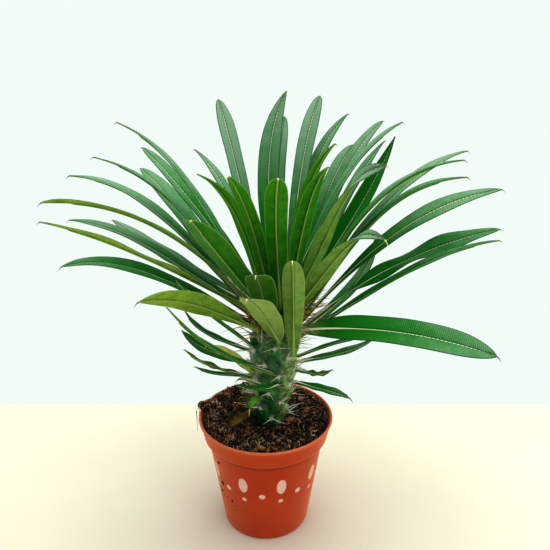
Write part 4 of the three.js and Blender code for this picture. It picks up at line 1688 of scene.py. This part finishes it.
@dataclass
class Soil:
    """Coarse potting mix with crumbs, chips and fibres, mounded at the back left.

    Lengths are in millimetres. mound is how far it rises at the back left, rise at the right and bank along
    the right wall, and lump and small_lump are its lumps' heights.
    """

    stem: StemForm
    surface_z: float = 99.0
    mound: float = 9.0
    rise: float = 4.0
    bank: float = 3.0
    lump: float = 1.1
    small_lump: float = 0.7
    rim_radius: float = 60.0
    rim_z: float = 105.0
    hole_radius: float = 14.8
    bed_radius: float = 55.6
    # each row: how wide the soil is inside the pot, and at which height
    body: tuple[Pair, ...] = (
        (53.6, 91.0), (50.0, 88.8), (49.5, 85.0), (45.0, 55.0), (37.2, 4.2), (36.0, 2.7),
    )
    sides: int = 120
    rings: int = 40
    roughness: float = 1.3
    # each row: the piece, how many bits, the smallest and the largest, how flat, and if they are chips
    litter: tuple[tuple[str, int, float, float, float, bool], ...] = (
        ("soil_crumbs", 5200, 0.9, 4.0, 0.75, False),
        ("bark_slivers", 900, 0.9, 4.0, 0.16, True),
        ("bark_chips", 150, 1.8, 7.0, 0.3, True),
    )
    fibres: int = 340
    fibre_radius: float = 0.2
    fibre_cuts: int = 8
    seed: int = 11
    clod_crumbs: int = 34
    clod_swell: float = 0.28
    clod_squash: float = 0.8
    # each row: x, y and radius
    clods: tuple[Triple, ...] = ((-52, 9, 5.5), (-57.5, 8, 4.6), (-49, 16, 4))
    # each row: x, y and how wide
    chunks: tuple[Triple, ...] = (
        (22, -5, 9), (-45, 25, 8), (-25, 13, 8), (-3, -47, 9), (-8, -46, 6), (9, -47, 5), (33, 26, 8),
        (38, 10, 5), (-42, 4, 6), (-36, -24, 5), (20, -34, 5),
    )
    # each row: the angle round the pot in degrees, the height and how high
    specks: tuple[Triple, ...] = (
        (-144, 74, 3.4), (-144, 51, 4.2), (-150, 40, 3.0), (-147, 36, 2.6), (-137, 53, 1.6),
        (-131, 37, 2.8), (-139, 38, 1.8), (-127, 32, 2.0), (-67, 61, 1.4), (-152, 62, 1.8), (-129, 27, 1.6),
    )
    # each row: x, y and z of its upper end, and its length
    hanging: tuple[tuple[float, float, float, float], ...] = (
        (-62, 6, 106, 16), (-63, 4, 105, 22), (-61, 9, 106, 12), (-60.5, 2, 105, 9),
    )

    def height(self, x: np.ndarray, y: np.ndarray) -> np.ndarray:
        """The height of the soil's surface.

        Args:
            x: Places across, in millimetres.
            y: Places towards the back.

        Returns:
            The height at each place.
        """
        to_back_left = (-x * 0.8 + y * 0.6) / self.rim_radius
        to_right = (x * 0.8 + y * 0.6) / self.rim_radius
        mound = self.mound * smooth(to_back_left * 1.2) + self.rise * smooth(to_right * 1.3)
        mound = mound + self.bank * smooth(x / 40) * smooth((np.hypot(x, y) - 42) / 12)
        lumps = self.lump * np.sin(x * 0.31 + 1) * np.cos(y * 0.27)
        lumps = lumps + self.small_lump * np.sin(x * 0.63 + y * 0.47)
        level = smooth((np.hypot(x - self.stem.foot_x, y - self.stem.foot_y) - self.hole_radius - 2) / 12)
        return self.surface_z + (mound + lumps) * level

    def bed(self) -> bpy.types.Object:
        """The soil: a disc inset ring by ring and roughened, and drawn down inside the pot to its floor.

        Returns:
            The object.
        """
        obj = disc("soil_bed", self.sides, self.bed_radius, self.surface_z)
        start_edit(obj)
        for _ in range(self.rings - 1):
            bpy.ops.mesh.inset(thickness=self.bed_radius / self.rings * MM, use_boundary=True)
        bpy.ops.mesh.poke()
        bpy.ops.mesh.select_all(action="SELECT")
        draw_on(self.bed_radius, self.surface_z, self.body)
        end_edit()
        points = corners_of(obj) / MM
        x, y = points[:, 0], points[:, 1]
        surface = points[:, 2] > self.surface_z - 1
        where = np.column_stack([x, y, 0 * x]) * 0.42
        rough = [noise.fractal(Vector(p), 0.6, 2.2, 4) for p in where.tolist()]
        inwards = smooth((self.bed_radius - np.hypot(x, y)) / 5)
        top = self.height(x, y) + self.roughness * np.array(rough) - 0.8 - 1.2 * (1 - inwards)
        points[:, 2] = np.where(surface, top, points[:, 2])
        move_corners(obj, points * MM)
        face_outwards(obj)
        write_attribute(obj, "soil_tone", np.full(len(points), -0.4))
        bpy.ops.object.shade_smooth()
        return obj

    def crumb_form(self, bevelled: bool) -> bpy.types.Object:
        """A small lump, or a chip with worn corners.

        Args:
            bevelled: Whether it is the chip.

        Returns:
            The object.
        """
        if not bevelled:
            return primitive(bpy.ops.mesh.primitive_ico_sphere_add, "crumb_form", subdivisions=1, radius=1)
        obj = primitive(bpy.ops.mesh.primitive_cube_add, "chip_form", size=1.4)
        start_edit(obj)
        bpy.ops.mesh.bevel(offset=0.3, segments=1, affect="EDGES")
        end_edit()
        return obj

    def strewn(
        self, name: str, count: int, small: float, large: float, squash: float, chips: bool
    ) -> bpy.types.Object:
        """Crumbs or chips strewn over the bed.

        Args:
            name: The piece's name.
            count: How many.
            small: How wide the smallest is, in millimetres.
            large: How wide the largest is.
            squash: How thick they are, as a share of their size.
            chips: Whether they are bevelled chips.

        Returns:
            The piece.
        """
        rng = np.random.default_rng(self.seed + count)
        away = np.sqrt(rng.uniform(0.08, 0.98, count)) * self.bed_radius
        turn = rng.uniform(0, TAU, count)
        x, y = away * np.cos(turn), away * np.sin(turn)
        size = small * (large / small) ** rng.beta(1.2, 3.0, count)
        longer, wider = rng.uniform(0.8, 2.0, count), rng.uniform(0.35, 0.9, count)
        shape = np.stack([longer, wider, np.full(count, squash)], 1)
        frames = shape[:, :, None] * (size / 2)[:, None, None] * random_turns(rng, count)
        sunk = 1 - smooth((self.bed_radius - away) / 5)
        places = np.stack([x, y, self.height(x, y) + 0.2 * size - sunk], 1)
        obj = scattered(name, self.crumb_form(chips), frames * MM, places * MM, False)
        corners = roughened(obj, rng, size, 0.072)
        bulky = smooth((size - 2.0) / 1.2)
        dry = rng.beta(0.9, 0.5, count) if chips else rng.beta(0.2, 1.7, count)
        patch = np.array([noise.noise(Vector((a, b, 3.0))) for a, b in zip(x * 0.12, y * 0.12)])
        tone = dry * (1 - 0.5 * bulky) * (0.85 + 1.3 * patch) + 0.1 * smooth((-x - 15) / 25)
        write_attribute(obj, "soil_tone", np.repeat(np.clip(tone, 0, 1), corners))
        return obj

    def spilled(self) -> bpy.types.Object:
        """The clods that spill over the left of the rim, with the crumbs that stick to them.

        Returns:
            The object.
        """
        points, faces, tones = [], [], []

        def add(form: bpy.types.Object, rows: np.ndarray, tone: np.ndarray) -> None:
            """Adds one ball or grain.

            Args:
                form: The object that its faces come from.
                rows: Where its corners go, in millimetres.
                tone: The tone of each corner.
            """
            faces.extend([[v + len(points) for v in p.vertices] for p in form.data.polygons])
            points.extend(rows.tolist())
            tones.extend(tone.tolist())

        rng = np.random.default_rng(self.seed + 3)
        ball = primitive(bpy.ops.mesh.primitive_ico_sphere_add, "clod_form", subdivisions=4, radius=1)
        grain = self.crumb_form(False)
        for number, (x, y, radius) in enumerate(self.clods):
            rows = corners_of(ball)
            middle = [x, y, self.rim_z + radius * 0.6]
            rough = [noise.fractal(Vector(p), 0.7, 2.1, 4) for p in (rows * 2.2 + [number, 3, 7]).tolist()]
            swell = 1 + self.clod_swell * np.array(rough)
            rows = rows * (radius * 0.93 * swell)[:, None] * [1, 1, self.clod_squash] + middle
            add(ball, rows, np.clip(2.2 * swell - 2.1, 0, 0.6))
            for way in unit(rng.normal(size=(self.clod_crumbs, 3))):
                rows = corners_of(grain) * rng.uniform(0.6, 1.5) * rng.uniform(0.6, 1.2, 3)
                rows += way * radius * [0.95, 0.95, self.clod_squash] + middle
                add(grain, rows, np.full(len(rows), rng.beta(0.5, 1.0)))
        for form in (ball, grain):
            bpy.data.objects.remove(form)
        obj = mesh_piece("soil_clods", np.array(points) * MM, faces, True)
        write_attribute(obj, "soil_tone", tones)
        return obj

    def chunks_piece(self) -> bpy.types.Object:
        """The few large pieces of bark, each turned its own way.

        Returns:
            The object.
        """
        rng = np.random.default_rng(self.seed + 5)
        x, y, size = np.array(self.chunks, float).T
        wide, high = rng.uniform(0.55, 0.9, len(x)), rng.uniform(0.3, 0.5, len(x))
        shape = np.stack([np.ones_like(x), wide, high], 1)
        tilt = random_turns(rng, len(x)) * 0.35 + np.eye(3)
        frames = shape[:, :, None] * (size / 2)[:, None, None] * unit(tilt)
        places = np.stack([x, y, self.height(x, y) + 0.22 * size], 1)
        obj = scattered("bark_chunks", self.crumb_form(True), frames * MM, places * MM, False)
        corners = roughened(obj, rng, size, 0.07)
        write_attribute(obj, "soil_tone", np.repeat(rng.uniform(0.3, 0.6, len(x)), corners))
        return obj

    def wall_specks(self) -> bpy.types.Object:
        """The specks of wet soil that stick to the outside of the pot.

        Returns:
            The piece.
        """
        rng = np.random.default_rng(self.seed + 13)
        turn, z, size = np.array(self.specks, float).T
        turn = np.radians(turn)
        wall = np.array(Pot.outside[3:8])
        radius = np.interp(z, wall[:, 1], wall[:, 0])
        out = np.stack([np.cos(turn), np.sin(turn), 0 * turn], 1)
        side = np.stack([-np.sin(turn), np.cos(turn), 0 * turn], 1)
        up = np.tile([0.0, 0.0, 1.0], (len(z), 1))
        frames = np.stack([out * 0.3, side * 0.7, up], 1) * (size / 2)[:, None, None]
        places = out * radius[:, None] + up * z[:, None]
        obj = scattered("wall_specks", self.crumb_form(False), frames * MM, places * MM, False)
        corners = roughened(obj, rng, size, 0.09)
        write_attribute(obj, "soil_tone", np.full(corners * len(size), -0.3))
        return obj

    def fibre_form(self) -> bpy.types.Object:
        """A straight thread, 1 long and 1 in radius, cut in eight.

        Returns:
            The object.
        """
        add = bpy.ops.mesh.primitive_cylinder_add
        obj = primitive(add, "fibre_form", vertices=4, radius=1, depth=1, location=(0, 0, 0.5))
        start_edit(obj)
        for step in range(1, self.fibre_cuts):
            cut_across(2, step / self.fibre_cuts)
        end_edit()
        return obj

    def fibres_piece(self) -> bpy.types.Object:
        """Thin roots that lie on the soil, and a few that hang from the clod over the rim.

        Returns:
            The object.
        """
        rng = np.random.default_rng(self.seed + 9)
        form = self.fibre_form()
        base = corners_of(form)
        t = base[:, 2]
        count = self.fibres + len(self.hanging)
        obj = scattered("root_fibres", form, np.tile(np.eye(3), (count, 1, 1)), np.zeros((count, 3)), True)
        rows = []
        for number in range(count):
            heading = rng.uniform(0, TAU)
            forward = np.array([math.cos(heading), math.sin(heading), 0.0])
            side = np.array([-forward[1], forward[0], 0.0])
            sway = rng.uniform(-0.2, 0.2) * np.sin(t * math.pi) + rng.uniform(-0.08, 0.08) * np.sin(t * TAU)
            if number < self.fibres:
                away, turn = self.bed_radius * math.sqrt(rng.uniform(0.1, 0.92)), rng.uniform(0, TAU)
                length = 2.2 + 11 * rng.beta(1.0, 2.4)
                line = forward * ((t - 0.5) * length)[:, None] + side * (sway * length)[:, None]
                line += [away * math.cos(turn), away * math.sin(turn), 0]
                lift = rng.uniform(0.2, 2.2) * np.sin(t * math.pi)
                line[:, 2] = self.height(line[:, 0], line[:, 1]) + 0.6 + lift
                first, second = side, np.array([0.0, 0.0, 1.0])
            else:
                x, y, z, length = self.hanging[number - self.fibres]
                line = DOWN * (t * length)[:, None] + forward * (sway * length)[:, None] + [x, y, z]
                first, second = forward * 1.5, side * 1.5
            radius = (self.fibre_radius * rng.uniform(0.6, 1.3) * (1 - 0.6 * t))[:, None]
            rows.append(line + radius * (base[:, :1] * first + base[:, 1:2] * second))
        move_corners(obj, np.concatenate(rows) * MM)
        face_outwards(obj)
        tone = np.where(np.arange(count) < self.fibres, rng.beta(1.4, 0.7, count), 0.12)
        write_attribute(obj, "soil_tone", np.repeat(tone, len(base)))
        return obj

    def build(self) -> list[bpy.types.Object]:
        """Builds the bed and what lies on it.

        Returns:
            The pieces.
        """
        bed = self.bed()
        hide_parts("soil")
        pieces = [
            bed,
            self.spilled(),
            *(self.strewn(*row) for row in self.litter),
            self.chunks_piece(),
            self.fibres_piece(),
            self.wall_specks(),
        ]
        material = SoilFinish().material()
        for obj in pieces:
            obj.data.materials.append(material)
            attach(obj, "root")
        return pieces


# ---- studio ---------------------------------------------------------------------------------------------


@dataclass
class Studio:
    """The pale table, the white surroundings, the soft lights and the camera."""

    table_back: float = 188.0
    table_front: float = -1300.0
    table_half_width: float = 1500.0
    table_drop: float = 0.3
    table_deep: str = "#dad3c1"
    table_pale: str = "#e6e1d4"
    camera_place: Triple = (8.3, -434.0, 377.0)
    camera_pitch: float = 18.0
    frame_pixels: float = 550.0
    focal_pixels: float = 550.0
    sensor: float = 36.0
    room: str = "#f5fdf9"
    front_light: float = 0.56
    front_to: float = -0.9
    back_from: float = 0.35
    contrast: float = 1.25
    # each row: the name, the place and the side in metres, the power in watts and the colour
    lights: tuple[tuple[str, Triple, float, float, str], ...] = (
        ("key_light", (0.08, 0.08, 1.6), 1.3, 22.0, "#fffaf0"),
        ("fill_light", (1.1, -0.9, 0.9), 1.4, 5.0, "#f4fbff"),
    )

    def table(self) -> bpy.types.Object:
        """The table top.

        Returns:
            The object.
        """
        middle = (0, (self.table_back + self.table_front) / 2 * MM, -self.table_drop * MM)
        size = (2 * self.table_half_width * MM, (self.table_back - self.table_front) * MM, 1)
        obj = primitive(bpy.ops.mesh.primitive_plane_add, "table_top", size, size=1, location=middle)
        s = Shader("table_cream")
        colour = s.blend(s.noise(180.0), rgba(self.table_deep), rgba(self.table_pale))
        obj.data.materials.append(s.finish(Base_Color=colour, Roughness=0.75, Specular_IOR_Level=0.25))
        return obj

    def light(
        self, name: str, place: Triple, size: float, power: float, colour: str
    ) -> None:
        """A square soft light that faces the middle of the plant.

        Args:
            name: The light's name.
            place: Where it stands, in metres.
            size: Its side, in metres.
            power: Its power, in watts.
            colour: Its colour.
        """
        data = bpy.data.lights.new(name, "AREA")
        data.shape = "SQUARE"
        data.size = size
        data.energy = power
        data.color = rgba(colour)[:3]
        obj = bpy.data.objects.new(name, data)
        obj.location = place
        obj.rotation_euler = (Vector((0, 0, 0.2)) - Vector(place)).to_track_quat("-Z", "Y").to_euler()
        bpy.context.scene.collection.objects.link(obj)

    def world(self) -> None:
        """The white surroundings, dimmer towards the front."""
        world = bpy.data.worlds.new("white_room")
        world.use_nodes = True
        nodes, links = world.node_tree.nodes, world.node_tree.links
        parts = nodes.new("ShaderNodeSeparateXYZ")
        links.new(nodes.new("ShaderNodeTexCoord").outputs["Generated"], parts.inputs[0])
        back = nodes.new("ShaderNodeMapRange")
        keys = ("From Min", "From Max", "To Min", "To Max")
        for key, value in zip(keys, (self.front_to, self.back_from, self.front_light, 1.0)):
            back.inputs[key].default_value = value
        links.new(parts.outputs["Y"], back.inputs["Value"])
        links.new(back.outputs["Result"], nodes["Background"].inputs["Strength"])
        nodes["Background"].inputs["Color"].default_value = rgba(self.room)
        bpy.context.scene.world = world

    def camera(self) -> None:
        """The camera."""
        data = bpy.data.cameras.new("camera")
        data.sensor_width = self.sensor
        data.lens = self.sensor * self.focal_pixels / self.frame_pixels
        data.clip_start = 0.02
        obj = bpy.data.objects.new("camera", data)
        obj.location = Vector(self.camera_place) * MM
        obj.rotation_euler = (math.radians(90 - self.camera_pitch), 0, 0)
        bpy.context.scene.collection.objects.link(obj)
        bpy.context.scene.camera = obj

    def build(self) -> None:
        """Sets up everything round the plant."""
        self.table()
        self.world()
        for row in self.lights:
            self.light(*row)
        self.camera()
        bpy.context.scene.view_settings.view_transform = "Standard"
        bpy.context.scene.view_settings.gamma = 1 / self.contrast


def main() -> None:
    """Builds the plant, its pot and the studio, and reports each piece."""
    logging.basicConfig(level=logging.INFO, format="%(name)s: %(message)s")
    form = StemForm()
    for maker in (Pot(), Soil(form), Stem(form), Leaves(form)):
        for piece in maker.build():
            log.info("%s with %d faces", piece.name, len(piece.data.polygons))
    Studio().build()


if __name__ == "__main__":
    main()
